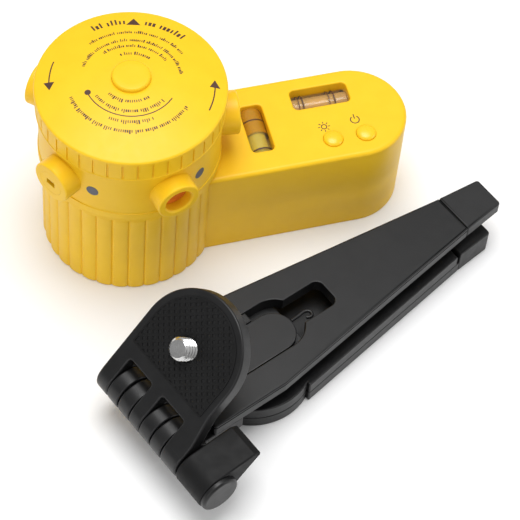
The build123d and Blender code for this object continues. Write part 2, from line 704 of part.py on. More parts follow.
def camera_screw():
    """Quarter-inch screw that stands out of the pad, with its head under the plate."""
    bottom = HINGE_R - PLATE_T
    neck_top = HINGE_R + 0.4
    screw = disc(SOCKET_R, SCREW_TOP - neck_top, neck_top, STUD_REACH, STUD_Y)
    screw = chamfer(screw.edges().sort_by(Axis.Z)[-1], 0.5)
    screw += disc(SCREW_NECK_R, neck_top - bottom - 1.0, bottom + 1.0, STUD_REACH, STUD_Y)
    return screw + disc(5.5, 1.6, bottom + 0.1, STUD_REACH, STUD_Y)


def hinge_bolt():
    """Axle of the hinge. It turns with the lever and screws into the nut."""
    lever_end = HINGE_RIGHT - LEVER_GAP - LEVER_WIDTH
    bolt = rod_y(BOLT_R, lever_end + 2, HINGE_LEFT - 0.4)
    return bolt + rod_y(3.4, lever_end + 0.5, lever_end + 2.1)


def hexagon(across, y0, y1):
    """Hexagonal prism along Y, sized across its corners."""
    return Pos(0, y0, 0) * Rot(-90, 0, 0) * extrude(RegularPolygon(across / 2, 6), y1 - y0)


def hinge_nut():
    return hexagon(7.6, HINGE_LEFT - 2.4, HINGE_LEFT - 0.3) - rod_y(BOLT_R + 0.04, 0, 30)


def clamp_lever():
    """Wedge-shaped handle that tightens the hinge; a teardrop in side view."""
    y1 = HINGE_RIGHT - LEVER_GAP
    y0 = y1 - LEVER_WIDTH
    body = rod_y(HINGE_R, y0, y1)
    tip_z = HINGE_R + 1.2
    side = make_face(Polyline((0, HINGE_R), (LEVER_REACH - 1.6, tip_z), (LEVER_REACH + 0.6, tip_z - 1.4),
                              (HINGE_R * 0.8, -HINGE_R * 0.6), (0, 0), close=True))
    wedge = extrude(Plane.XZ * side, LEVER_WIDTH)
    body += Pos(0, y1, 0) * wedge
    body -= rod_y(BOLT_R, y0 - 1, y1 + 1)
    body -= rod_y(3.4, y0 - 1, y0 + 2.1)
    return body


def lever_cap():
    y0 = HINGE_RIGHT - LEVER_GAP - LEVER_WIDTH
    cap = rod_y(HINGE_R - 0.4, y0 - 1.6, y0 - 0.02)
    return fillet(cap.edges().sort_by(Axis.Y)[0], 0.7)


# ------------------------------------------------------------------ write the pieces

def lever_place(shape):
    return to_world(Pos(HINGE_X, 0, HINGE_Z) * shape)


def all_nodes():
    """Every piece by name. A list of solids is one node of identical pieces."""
    azimuths = window_azimuths()
    kinds = ("upright", "level", "cross", "wide")
    nodes = {
        "body_shell": body_shell(),
        "base_cover": base_cover(),
        "battery_door": battery_door(),
        "cover_screws": cover_screws(),
        "tripod_insert": tripod_insert(),
        "turret_skirt": turret_skirt(),
        "head_cap": head_cap(),
        "centre_plug": centre_plug(),
        "dot_window": dot_window(),
        "line_rods": line_rods(),
        "laser_post": laser_post(),
        "laser_barrel": laser_barrel(),
        "collimating_lens": collimating_lens(),
        "laser_diode": laser_diode(),
        "turret_screw": turret_screw(),
        "turret_washer": turret_washer(),
        "detent_ball": detent_ball(),
        "detent_spring": detent_spring(),
        "laser_leads": laser_leads(),
        "cross_vial": place_cross(vial(CROSS_VIAL_L)),
        "cross_vial_fluid": place_cross(vial_fluid(CROSS_VIAL_L)),
        "cross_vial_cradle": place_cross(vial_cradle(CROSS_VIAL_L - 4)),
        "long_vial": place_long(vial(LONG_VIAL_L)),
        "long_vial_fluid": place_long(vial_fluid(LONG_VIAL_L)),
        "long_vial_cradle": place_long(vial_cradle(LONG_VIAL_L - 4)),
        "lamp_button": button(LAMP_BUTTON),
        "power_button": button(POWER_BUTTON),
        "lamp_switch": tact_switch(LAMP_BUTTON),
        "power_switch": tact_switch(POWER_BUTTON),
        "circuit_board": circuit_board(),
        "vial_lamps": vial_lamps(),
        "left_cell": battery(1),
        "right_cell": battery(-1),
        "contact_bridge": contact_bridge(),
        "contact_springs": contact_springs(),
        "battery_tray": battery_tray(),
        "hinge_block": to_world(hinge_block()),
        "top_leg": to_world(top_leg()),
        "top_leg_tip": to_world(top_leg_tip()),
        "leg_latch": to_world(leg_latch()),
        "latch_spring": to_world(latch_spring()),
        "leg_rivet": to_world(leg_rivet()),
        "leg_screws": [to_world(screw) for screw in leg_screws()],
        "lower_leg": to_world(lower_leg()),
        "lower_leg_tip": to_world(lower_leg_tip()),
        "middle_leg": to_world(middle_leg()),
        "middle_leg_foot": to_world(middle_leg_foot()),
        "camera_plate": to_plate(camera_plate()),
        "plate_pad": to_plate(plate_pad()),
        "camera_screw": to_plate(camera_screw()),
        "hinge_bolt": lever_place(hinge_bolt()),
        "hinge_nut": to_plate(hinge_nut()),
        "clamp_lever": lever_place(clamp_lever()),
        "lever_cap": lever_place(lever_cap()),
    }
    for kind, azimuth in zip(kinds, azimuths[1:]):
        nodes["%s_line_plate" % kind] = radial(azimuth, window_insert(kind))
    return nodes


def main():
    os.makedirs("parts", exist_ok=True)
    for name, shape in all_nodes().items():
        solid = Compound(children=shape) if isinstance(shape, list) else shape
        export_step(solid, "parts/%s.step" % name)


main()
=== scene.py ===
import json
import random
from math import acos, asin, atan2, cos, degrees, hypot, pi, radians, sin, sqrt, tan
import bmesh
import bpy
from mathutils import Matrix, Vector


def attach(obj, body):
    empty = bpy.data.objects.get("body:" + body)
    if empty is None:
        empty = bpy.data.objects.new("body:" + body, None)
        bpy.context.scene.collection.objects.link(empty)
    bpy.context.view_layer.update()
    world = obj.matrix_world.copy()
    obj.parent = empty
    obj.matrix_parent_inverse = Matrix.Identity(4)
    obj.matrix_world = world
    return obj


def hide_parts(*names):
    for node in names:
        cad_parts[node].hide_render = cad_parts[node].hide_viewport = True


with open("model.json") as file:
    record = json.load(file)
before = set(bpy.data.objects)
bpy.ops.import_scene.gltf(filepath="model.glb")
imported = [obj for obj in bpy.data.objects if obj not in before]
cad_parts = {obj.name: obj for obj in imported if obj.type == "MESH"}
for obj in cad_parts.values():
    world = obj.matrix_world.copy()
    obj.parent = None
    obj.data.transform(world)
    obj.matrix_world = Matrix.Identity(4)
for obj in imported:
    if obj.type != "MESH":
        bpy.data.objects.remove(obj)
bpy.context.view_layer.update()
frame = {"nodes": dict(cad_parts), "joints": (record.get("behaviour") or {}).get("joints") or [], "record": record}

# A pocket laser level beside its folding mini tripod. Shapes are worked out in
# millimetres, in the same places as the CAD pieces, and scaled to metres at the end.
MM = 0.001
SAME_POINT = 1e-4        # points closer than this are one point

# ---- level ----
DRUM_R = 24.4
DRUM_TOP = 32.8
DRUM_FLUTES = 33
COLLAR_R = 24.9
DECK_TOP = 34.0
DRUM_INSIDE_R = 22.0
DECK_HOLE_R = 8.6
WALL = 1.8
ROOF_T = 2.0             # thickness of the arm's roof
ARM_END = 79.8
ARM_HALF_WIDTH = 15.3
ARM_TOP = 31.7
ARM_ROOT_R = 23.0        # the arm starts inside the drum's wall
TURRET_BOTTOM = 34.2
TURRET_R = 25.0
TURRET_THROAT_R = 18.4
TURRET_WALL = 2.0
TURRET_FLOOR_T = 1.2
LEDGE_TOP = 36.7
LEDGE_R = 25.3
BAND_BOTTOM = 52.4
BAND_TOP = 59.0
BAND_R = 25.6
BAND_GROOVES = 40
CAP_R = 26.0
CAP_EDGE_TOP = 60.3
CAP_CROWN = 64.2
CAP_EDGE_R = 0.75
CAP_RISE = CAP_CROWN - CAP_EDGE_TOP
DOME_R = (CAP_R ** 2 + CAP_RISE ** 2) / (2 * CAP_RISE)
PLUG_R = 5.3
PLUG_TOP = 65.3
WINDOWS = 5
BEAM_Z = 44.4
BEAM_AZIMUTH = -77.0
BARREL_R = 6.1
BARREL_BORE_R = 3.8
BARREL_FACE = 29.6
BARREL_ROOT = 23.1       # the barrels start here, inside the turret's wall
BARREL_FLOOR = 25.2      # bottom of a barrel's bore
SPOT_R = 1.75
SPOT_Z = 44.2
SPOT_SHIFT = 22.0        # degrees from a barrel to the painted spot beside it
BUTTON_R = 2.8
BUTTON_RISE = 1.2
BUTTON_RIM = 0.15        # height at which the dome starts
LAMP_BUTTON = (56.4, -8.2)
POWER_BUTTON = (66.0, -8.2)
CROSS_VIAL_X = 36.4
CROSS_VIAL_L = 18.5
CROSS_WINDOW = (6.5, 16.2)
LONG_VIAL_X = 56.8
LONG_VIAL_Y = 7.3
LONG_VIAL_L = 19.0
LONG_WINDOW = (16.6, 6.9)
WINDOW_CORNER_R = 1.4
WINDOW_SKIRT_T = 0.8     # a thin skirt hangs from the roof round each window
CROSS_SKIRT_FOOT = 1.7   # its lower edge above the vial's axis
LONG_SKIRT_FOOT = 1.25
VIAL_R = 3.6
VIAL_WALL = 0.7
VIAL_END_T = 1.2
BUBBLE_R = 1.2
VIAL_Z = ARM_TOP - 4.7

# ---- tripod, in its own frame: +X along the folded legs, +Y left, +Z up ----
HINGE_X = 10.0
HINGE_Z = 14.3
HINGE_R = 5.9
HINGE_LEFT = 15.5
HINGE_RIGHT = -19.6
SLAB_BOTTOM = 8.2
SLAB_TOP = 12.9
TOP_LEG_BOTTOM = 13.0
TOP_LEG_TOP = 17.0
TOP_LEG_START = 20.0
SHOULDER_X = 44.0
SHOULDER_HALF = 16.3
KEYHOLE_START = 37.0
KEYHOLE_X = 53.0         # centre of the keyhole's round end
KEYHOLE_R = 8.0
HEAD_END = 71.5
HEAD_RIGHT = -4.0
HEAD_LEFT = 4.9
HEAD_CORNER_R = 2.2
LATCH_BOTTOM = 14.6
TIP_SEAM_X = 116.6
TIP_SEAM_HALF = 6.4
TIP_END_X = 130.0
TIP_END_HALF = 5.0
PIVOT_X = 45.0
LEG_T = 3.9
LEG_GAP = 0.2
LEG_DISC_R = 17.3
LEG_ROOT_X = 52.5
LEG_ROOT_HALF = 16.8
LEG_SEAM_X = 114.0
LEG_SEAM_HALF = 8.0
LEG_END_X = 126.0
LEG_END_HALF = 7.0
MIDDLE_END_X = 112.8
RIVET_R = 3.06
PLATE_R = 16.7
PLATE_REACH = 21.9
PLATE_Y = -1.2
STUD_Y = -0.5
PLATE_T = 4.2
PAD_TOP = HINGE_R + 0.25
SCREW_R = 3.175
SCREW_TOP = 10.4
STUD_REACH = 22.0        # hinge axis to the camera screw
SCREW_PITCH = 1.27
THREAD_DEPTH = 0.62
PAD_BORDER = 2.05
RIB_PITCH = 1.67
RIB_WIDTH = 0.86
LEVER_GAP = 0.5
LEVER_WIDTH = 10.5
LEVER_REACH = 13.4

# ---- print on the cap: radius, first and last azimuth, height of the dashes ----
PRINT_ROWS = (
    (20.9, 36, 67, 2.4), (20.9, 82, 107, 2.4), (16.6, 22, 120, 1.15), (13.4, -4, 148, 1.15),
    (11.2, 22, 117, 1.15), (8.3, 42, 96, 1.25), (7.9, -150, -66, 1.25), (10.9, -160, -54, 1.25),
    (14.1, -127, -77, 1.25), (16.9, -173, -43, 1.25))
PRINT_T = 0.035          # how far the print stands above the surface
PRINT_ROOT = 0.1         # how far it reaches into the surface

# ---- camera: in front of the object, to its left and well above it ----
CAMERA_AZIMUTH = -19.854
CAMERA_ELEVATION = 55.491
CAMERA_ROLL = 5.886
CAMERA_PLACE = (-0.09596, -0.38040, 0.55299)
CAMERA_LENS = 162.96
LIGHT_TARGET = (0.02, -0.03, 0.02)
FLOOR_HALF = 3.0
FLOOR_Z = -0.00005       # just below the object, so that the faces don't share a plane


def joint(name):
    return next(j for j in frame["joints"] if j["name"] == name)


# The tripod's own frame comes from its hinge joint.
HINGE_POINT = Vector(joint("plate_tilt")["pos_m"]) / MM
TRIPOD_RIGHT = Vector(joint("plate_tilt")["axis"]).normalized()
TRIPOD_TURN = atan2(TRIPOD_RIGHT.x, -TRIPOD_RIGHT.y)
PLATE_TILT = radians(44.0)
ON_HINGE = Matrix.Translation(HINGE_POINT) @ Matrix.Rotation(TRIPOD_TURN, 4, "Z")
ON_TRIPOD = ON_HINGE @ Matrix.Translation((-HINGE_X, 0, -HINGE_Z))
ON_PLATE = ON_HINGE @ Matrix.Rotation(-PLATE_TILT, 4, "Y")
ALONG_X = Matrix.Rotation(pi / 2, 4, "Y")
SIDEWAYS = Matrix.Rotation(pi / 2, 4, "X")   # an outline in X and Z, raised towards -Y


# -------------------- outlines

def arc(x, y, radius, start, end, steps):
    """Points on an arc, angles in degrees, both ends included."""
    angles = [radians(start + (end - start) * i / steps) for i in range(steps + 1)]
    return [(x + radius * cos(a), y + radius * sin(a)) for a in angles]


def corner_arc(before, here, after, steps):
    """Points that round off one corner (x, y, radius) between its two neighbours."""
    radius = here[2]
    if radius == 0:
        return [here[:2]]
    point = Vector(here[:2])
    back = Vector(before[:2]) - point
    on = Vector(after[:2]) - point
    half = back.angle(on) / 2
    reach = min(radius / tan(half), 0.49 * min(back.length, on.length))
    size = reach * tan(half)
    middle = point + (back.normalized() + on.normalized()).normalized() * size / sin(half)
    start = point + back.normalized() * reach - middle
    end = point + on.normalized() * reach - middle
    turn = start.angle_signed(end)
    first = atan2(start.y, start.x)
    angles = [first - turn * k / steps for k in range(steps + 1)]
    return [(middle.x + size * cos(a), middle.y + size * sin(a)) for a in angles]


def clean_line(points):
    """An open line without the points that repeat the one before them."""
    kept = [points[0]]
    for point in points[1:]:
        if hypot(point[0] - kept[-1][0], point[1] - kept[-1][1]) > SAME_POINT:
            kept.append(point)
    return kept


def clean_loop(points):
    """The same for a closed outline, whose last point may not repeat the first."""
    kept = clean_line(points)
    if hypot(kept[0][0] - kept[-1][0], kept[0][1] - kept[-1][1]) < SAME_POINT:
        kept.pop()
    return kept


def rounded(corners, steps=5):
    """A closed outline from corners (x, y, radius), each turned into an arc."""
    points = []
    for i, here in enumerate(corners):
        points += corner_arc(corners[i - 1], here, corners[(i + 1) % len(corners)], steps)
    return clean_loop(points)


def inset(points, distance):
    """The same outline moved inwards by a distance; the outline runs anticlockwise."""
    inner = []
    count = len(points)
    for i in range(count):
        before = Vector(points[i]) - Vector(points[i - 1])
        after = Vector(points[(i + 1) % count]) - Vector(points[i])
        left_a = Vector((-before.y, before.x)).normalized()
        left_b = Vector((-after.y, after.x)).normalized()
        middle = (left_a + left_b).normalized()
        stretch = distance / max(0.4, middle.dot(left_a))
        inner.append((points[i][0] + middle.x * stretch, points[i][1] + middle.y * stretch))
    return inner


def box_outline(x0, x1, y0, y1, radius=0.0, steps=5):
    return rounded([(x0, y0, radius), (x1, y0, radius), (x1, y1, radius), (x0, y1, radius)], steps)


def circle(x, y, radius, steps=32):
    return clean_loop(arc(x, y, radius, 0, 360, steps))


# -------------------- meshes

def shift(x, y, z):
    return Matrix.Translation((x, y, z))


def add_ring(bm, points):
    return [bm.verts.new(point) for point in points]


def bridge(bm, ring_a, ring_b):
    count = len(ring_a)
    for i in range(count):
        j = (i + 1) % count
        bm.faces.new((ring_a[i], ring_a[j], ring_b[j], ring_b[i]))


def stack(bm, rings):
    """Walls through a list of closed rings of 3-D points; returns the first and last ring."""
    made = [add_ring(bm, ring) for ring in rings]
    for lower, upper in zip(made, made[1:]):
        bridge(bm, lower, upper)
    return made[0], made[-1]


def fill(bm, *rings):
    """A flat face between rings, the first outside and the others its holes."""
    if len(rings) == 1 and len(rings[0]) <= 4:
        bm.faces.new(rings[0])
        return
    edges = []
    for ring in rings:
        for i in range(len(ring)):
            edges.append(bm.edges.get((ring[i - 1], ring[i])) or bm.edges.new((ring[i - 1], ring[i])))
    bmesh.ops.triangle_fill(bm, use_beauty=True, use_dissolve=False, edges=edges)


def edge_levels(z0, z1, bottom, top, steps=4):
    """(height, inset) pairs up a wall with a rounded lower and upper edge."""
    turns = [radians(90 * i / steps) for i in range(steps + 1)]
    levels = [(z0 + bottom * (1 - cos(a)), bottom * (1 - sin(a))) for a in turns]
    levels += [(z1 - top * (1 - sin(a)), top * (1 - cos(a))) for a in turns]
    return [level for i, level in enumerate(levels) if i == 0 or level != levels[i - 1]]


def repeated_ring(z, count, pattern):
    """A ring of count equal stretches, each with the (share, radius) points of the pattern."""
    points = []
    for i in range(count):
        for share, radius in pattern:
            angle = 2 * pi * (i + share) / count
            points.append((radius * cos(angle), radius * sin(angle), z))
    return points


def wall_rings(outline, levels):
    return [[(x, y, z) for x, y in inset(outline, gap)] for z, gap in levels]


def with_margin(levels, margin):
    """The same levels with one more flat step at each end, so that the shading stays flat there."""
    if margin == 0:
        return levels
    return [(levels[0][0], levels[0][1] + margin)] + levels + [(levels[-1][0], levels[-1][1] + margin)]


def slab(outline, z0, z1, bottom=0.3, top=0.3, holes=(), levels=None, margin=0.15):
    """A plate of any plan with rounded edges. holes are outlines right through it."""
    bm = bmesh.new()
    outer = stack(bm, wall_rings(outline, with_margin(levels or edge_levels(z0, z1, bottom, top), margin)))
    inner = []
    for hole in holes:
        hole_levels = [(z, -gap * 0.7) for z, gap in edge_levels(z0, z1, bottom, top)]
        inner.append(stack(bm, wall_rings(hole, with_margin(hole_levels, -margin))))
    fill(bm, outer[0], *[pair[0] for pair in inner])
    fill(bm, outer[1], *[pair[1] for pair in inner])
    return bm


def lathe(profile, segments=96, closed=False):
    """Turns a profile of (radius, height) about Z. Radius 0 is a point on the axis."""
    bm = bmesh.new()
    rings = []
    for radius, z in profile:
        if radius < 1e-6:
            rings.append([bm.verts.new((0, 0, z))])
        else:
            angles = [2 * pi * i / segments for i in range(segments)]
            rings.append(add_ring(bm, [(radius * cos(a), radius * sin(a), z) for a in angles]))
    pairs = list(zip(rings, rings[1:]))
    if closed:
        pairs.append((rings[-1], rings[0]))
    for low, high in pairs:
        if len(low) == 1 or len(high) == 1:
            point, ring = (low[0], high) if len(low) == 1 else (high[0], low)
            for i in range(segments):
                bm.faces.new((point, ring[i], ring[(i + 1) % segments]))
        else:
            bridge(bm, low, high)
    return bm


def turned(corners, segments=96, steps=5):
    """A turned solid whose profile runs from axis to axis, with a radius at each corner."""
    points = [corners[0][:2]]
    for before, here, after in zip(corners, corners[1:], corners[2:]):
        points += corner_arc(before, here, after, steps)
    points.append(corners[-1][:2])
    return lathe(clean_line(points), segments)


def rod(radius, length, edge=0.3, segments=64):
    """A cylinder on Z = 0 with rounded edges."""
    return turned([(0, 0, 0), (radius, 0, edge), (radius, length, edge), (0, length, 0)], segments)


def moved(bm, matrix):
    bm.transform(matrix)
    return bm


def merge(*meshes):
    """Puts several closed meshes into one."""
    whole = bmesh.new()
    for part in meshes:
        bmesh.ops.recalc_face_normals(part, faces=part.faces)
        mesh = bpy.data.meshes.new("part")
        part.to_mesh(mesh)
        whole.from_mesh(mesh)
        bpy.data.meshes.remove(mesh)
        part.free()
    return whole


def add_object(name, data):
    obj = bpy.data.objects.new(name, data)
    bpy.context.scene.collection.objects.link(obj)
    return obj


def piece(name, bm, body, look, nodes=(), place=None, angle=32, recalc=True):
    """Makes a shaded object of a mesh in millimetres, ties it to its body and hides the CAD nodes it stands in
    for.
    """
    if recalc:
        bmesh.ops.recalc_face_normals(bm, faces=bm.faces)
    if place:
        bm.transform(place)
    bm.transform(Matrix.Scale(MM, 4))
    mesh = bpy.data.meshes.new(name)
    bm.to_mesh(mesh)
    bm.free()
    mesh.shade_smooth()
    mesh.set_sharp_from_angle(angle=radians(angle))
    obj = add_object(name, mesh)
    normals = obj.modifiers.new("even_shading", "WEIGHTED_NORMAL")
    normals.keep_sharp = True
    mesh.materials.append(look)
    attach(obj, body)
    if nodes:
        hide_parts(*nodes)
    return obj


# -------------------- materials

class Look:
    """A Principled material with noise for its colour, roughness and fine relief."""

    def __init__(self, name, **sockets):
        self.material = bpy.data.materials.new(name)
        self.material.use_nodes = True
        self.tree = self.material.node_tree
        self.shader = self.tree.nodes["Principled BSDF"]
        self.place = self.node("TexCoord").outputs["Object"]
        self.feed(self.shader, **sockets)

    def feed(self, node, **inputs):
        """Sets the inputs of a node, or links those whose value is another node's socket."""
        for name, value in inputs.items():
            socket = node.inputs[name.replace("_", " ")]
            if isinstance(value, bpy.types.NodeSocket):
                self.tree.links.new(value, socket)
            else:
                socket.default_value = value
        return node

    def node(self, kind, **inputs):
        return self.feed(self.tree.nodes.new("ShaderNode" + kind), **inputs)

    def noise(self, scale, detail=3.0, stretch=None):
        source = self.place
        if stretch:
            source = self.node("Mapping", Scale=stretch, Vector=source).outputs["Vector"]
        return self.node("TexNoise", Scale=scale, Detail=detail, Vector=source).outputs["Fac"]

    def colour(self, fac, low, high):
        ramp = self.node("ValToRGB", Fac=fac)
        for stop, position, colour in zip(ramp.color_ramp.elements, (0.35, 0.65), (low, high)):
            stop.position = position
            stop.color = (*colour, 1)
        self.feed(self.shader, Base_Color=ramp.outputs["Color"])

    def roughness(self, fac, low, high):
        span = self.node("MapRange", From_Min=0.3, From_Max=0.7, To_Min=low, To_Max=high, Value=fac)
        self.feed(self.shader, Roughness=span.outputs["Result"])

    def relief(self, fac, height, strength=0.5):
        bump = self.node("Bump", Distance=height, Strength=strength, Height=fac)
        self.feed(self.shader, Normal=bump.outputs["Normal"])


def plastic(name, low, high, rough=(0.3, 0.42), grain=2600, height=0.00002, **sockets):
    """Moulded plastic: slight colour drift, uneven gloss and a fine grain."""
    look = Look(name, **sockets)
    look.colour(look.noise(160, 3.0), low, high)
    look.roughness(look.noise(420, 4.0), *rough)
    look.relief(look.noise(grain, 2.0), height)
    return look.material


def metal(name, low, high, rough, stretch=None):
    """Plated or turned metal; stretch draws the noise out along one direction."""
    look = Look(name, Metallic=1.0)
    look.colour(look.noise(400, 4.0, stretch), low, high)
    look.roughness(look.noise(900, 4.0, stretch), *rough)
    look.relief(look.noise(2500, 3.0, stretch), 0.000008, 0.3)
    return look.material


def clear(name, tint_low, tint_high, rough, ior):
    """Polished glass or clear plastic."""
    look = Look(name, Transmission_Weight=1.0, IOR=ior)
    look.colour(look.noise(120, 2.0), tint_low, tint_high)
    look.roughness(look.noise(700, 2.0), *rough)
    return look.material


YELLOW = plastic("yellow_abs", (0.90, 0.545, 0.011), (0.92, 0.565, 0.013), (0.36, 0.44),
                 Specular_IOR_Level=0.3)
YELLOW_BUTTON = plastic("yellow_button_plastic", (0.94, 0.56, 0.010), (0.96, 0.58, 0.012), (0.24, 0.32))
BLACK = plastic("black_moulded_plastic", (0.0065, 0.0065, 0.0068), (0.0085, 0.0085, 0.0090), (0.34, 0.42),
                3200, 0.00002, Specular_IOR_Level=0.38)
BLACK_LEVER = plastic("black_lever_plastic", (0.0055, 0.0055, 0.0057), (0.0072, 0.0072, 0.0075), (0.5, 0.6),
                      3200, 0.00002, Specular_IOR_Level=0.2)
BLACK_TIP = plastic("black_tip_rubber", (0.008, 0.008, 0.0083), (0.011, 0.011, 0.0115), (0.42, 0.52),
                    2400, 0.00003, Specular_IOR_Level=0.4)
RUBBER = plastic("black_pad_rubber", (0.0045, 0.0045, 0.0046), (0.007, 0.007, 0.0072), (0.48, 0.6),
                 3000, 0.00004, Specular_IOR_Level=0.22)
INNER = plastic("dark_inner_plastic", (0.05, 0.05, 0.052), (0.075, 0.075, 0.078), (0.45, 0.6))
INK = plastic("dark_brown_ink", (0.055, 0.022, 0.012), (0.085, 0.036, 0.020), (0.45, 0.6), 4000, 0.00001)
BLUE_DOT = plastic("slate_paint", (0.055, 0.060, 0.090), (0.085, 0.090, 0.125), (0.4, 0.55), 3500, 0.00001)
CELL = plastic("cell_wrap", (0.03, 0.035, 0.05), (0.05, 0.055, 0.07), (0.15, 0.25))
BOARD = plastic("board_solder_mask", (0.012, 0.11, 0.035), (0.02, 0.16, 0.05), (0.3, 0.4))
WIRE = plastic("wire_jacket_red", (0.42, 0.02, 0.015), (0.52, 0.03, 0.02), (0.4, 0.5))
CHROME = metal("bright_nickel", (0.58, 0.58, 0.575), (0.68, 0.68, 0.675), (0.16, 0.26))
STEEL = metal("zinc_steel", (0.50, 0.50, 0.51), (0.62, 0.62, 0.63), (0.25, 0.42), (1, 1, 6))
BRASS = metal("turned_brass", (0.72, 0.50, 0.19), (0.80, 0.58, 0.25), (0.22, 0.34), (1, 1, 8))
ACRYLIC = plastic("vial_acrylic", (0.93, 0.95, 0.92), (0.97, 0.98, 0.96), (0.03, 0.06), 900, 0.000004,
                  Alpha=0.035, Specular_IOR_Level=1.0)
GREEN_SPIRIT = plastic("green_spirit", (0.80, 0.60, 0.012), (0.88, 0.68, 0.018), (0.04, 0.08),
                       700, 0.000004, Alpha=0.6, Specular_IOR_Level=0.9)
# Spirit of the long vial: clear, with an amber tint that is a painted reflection of the yellow window walls.
CLEAR_SPIRIT_PAINTED_REFLECTION = plastic("clear_spirit", (0.84, 0.45, 0.07), (0.90, 0.51, 0.10), (0.04, 0.08),
                       700, 0.000004, Alpha=0.45, Specular_IOR_Level=0.9)
AMBER = plastic("amber_plastic", (0.60, 0.27, 0.008), (0.68, 0.33, 0.012), (0.15, 0.25), Alpha=0.5)
LENS_GLASS = clear("lens_glass", (0.93, 0.95, 0.96), (0.97, 0.98, 0.99), (0.01, 0.02), 1.52)
# Orange lens of the dot window; its faint emission is a painted glow, since the lens is no lamp.
DOT_LENS_PAINTED_GLOW = plastic("orange_lens_painted_glow", (0.62, 0.12, 0.012), (0.86, 0.24, 0.03), (0.12, 0.2),
               Emission_Color=(1.0, 0.16, 0.02, 1), Emission_Strength=0.05)


# -------------------- level: drum and arm

def flute_radius(share):
    """Radius of the drum's side; share runs from -0.5 to 0.5 across one flute."""
    far = abs(share) * 2
    groove = max(0.0, (far - 0.82) / 0.18)
    return DRUM_R - 0.3 * far ** 2 - 0.3 * groove


def fluted_ring(z, gap):
    shares = (-0.5, -0.46, -0.42, -0.3, -0.15, 0.0, 0.15, 0.3, 0.42, 0.46)
    return repeated_ring(z, DRUM_FLUTES, [(share, flute_radius(share) - gap) for share in shares])


def round_ring(radius, z):
    count = DRUM_FLUTES * 10
    angles = [2 * pi * (i / count - 0.5 / DRUM_FLUTES) for i in range(count)]
    return [(radius * cos(a), radius * sin(a), z) for a in angles]


def drum():
    """Fluted wall, plain collar and deck, open underneath."""
    bm = bmesh.new()
    rings = [fluted_ring(z, gap) for z, gap in (
        (0.0, 0.45), (0.12, 0.16), (0.4, 0.0), (31.4, 0.0), (32.1, 0.1), (32.5, 0.3), (32.7, 0.55))]
    rings += [round_ring(radius, z) for radius, z in (
        (23.7, DRUM_TOP), (COLLAR_R - 0.15, DRUM_TOP), (COLLAR_R, DRUM_TOP + 0.15),
        (COLLAR_R, DECK_TOP - 0.25), (COLLAR_R - 0.07, DECK_TOP - 0.07), (COLLAR_R - 0.25, DECK_TOP),
        (DECK_HOLE_R, DECK_TOP), (DECK_HOLE_R, DECK_TOP - 2.2), (DRUM_INSIDE_R, DECK_TOP - 2.2),
        (DRUM_INSIDE_R, 0.0))]
    first, last = stack(bm, rings)
    bridge(bm, last, first)
    return bm


def arm_outline():
    """Straight sides and a half-round end, starting inside the drum's wall."""
    centre = ARM_END - ARM_HALF_WIDTH
    spread = degrees(asin(ARM_HALF_WIDTH / ARM_ROOT_R))
    points = arc(0, 0, ARM_ROOT_R, spread, -spread, 16)
    for x in (30, 42, 54):
        points.append((x, -ARM_HALF_WIDTH))
    points += arc(centre, 0, ARM_HALF_WIDTH, -90, 90, 40)
    for x in (54, 42, 30):
        points.append((x, ARM_HALF_WIDTH))
    return clean_loop(points)


def windows():
    """Outlines of the two vial windows."""
    cross = box_outline(CROSS_VIAL_X - CROSS_WINDOW[0] / 2, CROSS_VIAL_X + CROSS_WINDOW[0] / 2,
                        -CROSS_WINDOW[1] / 2, CROSS_WINDOW[1] / 2, WINDOW_CORNER_R)
    long = box_outline(LONG_VIAL_X - LONG_WINDOW[0] / 2, LONG_VIAL_X + LONG_WINDOW[0] / 2,
                       LONG_VIAL_Y - LONG_WINDOW[1] / 2, LONG_VIAL_Y + LONG_WINDOW[1] / 2,
                       WINDOW_CORNER_R)
    return [cross, long]


def arm():
    """Hollow arm with the vial windows and button holes through its roof."""
    bm = bmesh.new()
    outline = arm_outline()
    outer = stack(bm, wall_rings(outline, edge_levels(0, ARM_TOP, 0.3, 1.2, 6) + [(ARM_TOP, 1.5)]))
    roof = ARM_TOP - ROOF_T
    cavity = stack(bm, wall_rings(inset(outline, WALL), [(0, 0), (roof, 0)]))
    feet = (CROSS_SKIRT_FOOT, LONG_SKIRT_FOOT)
    openings = [(hole, 0.45, VIAL_Z + foot) for hole, foot in zip(windows(), feet)]
    for x, y in (LAMP_BUTTON, POWER_BUTTON):
        openings.append((circle(x, y, BUTTON_R + 0.06, 40), 0.12, None))
    lower, upper = [], []
    for hole, edge, foot in openings:
        levels = [(z, -gap) for z, gap in edge_levels(roof, ARM_TOP, 0.0, edge, 4)]
        if foot:
            levels = [(roof, -WINDOW_SKIRT_T), (foot + 0.1, -WINDOW_SKIRT_T),
                      (foot, 0.1 - WINDOW_SKIRT_T), (foot, -0.1), (foot + 0.1, 0)] + levels[1:]
        levels.append((ARM_TOP, -edge - 0.15))
        rings = stack(bm, wall_rings(hole, levels))
        lower.append(rings[0])
        upper.append(rings[1])
    bridge(bm, outer[0], cavity[0])
    fill(bm, cavity[1], *lower)
    fill(bm, outer[1], *upper)
    return bm


def make_body():
    piece("level_body", merge(drum(), arm()), "level", YELLOW, ["body_shell"])


# -------------------- level: turret

def band_ring(z, groove):
    """A ring of the turret with square grooves of the given depth."""
    shares = ((-0.5, 0), (-0.3, 0), (-0.1, 0), (-0.075, 0), (-0.05, 1), (0.05, 1), (0.075, 0), (0.1, 0),
              (0.3, 0))
    return repeated_ring(z, BAND_GROOVES, [(share, BAND_R - groove * deep) for share, deep in shares])


def plain_ring(radius, z):
    scale = radius / BAND_R
    return [(x * scale, y * scale, z) for x, y, _ in band_ring(z, 0)]


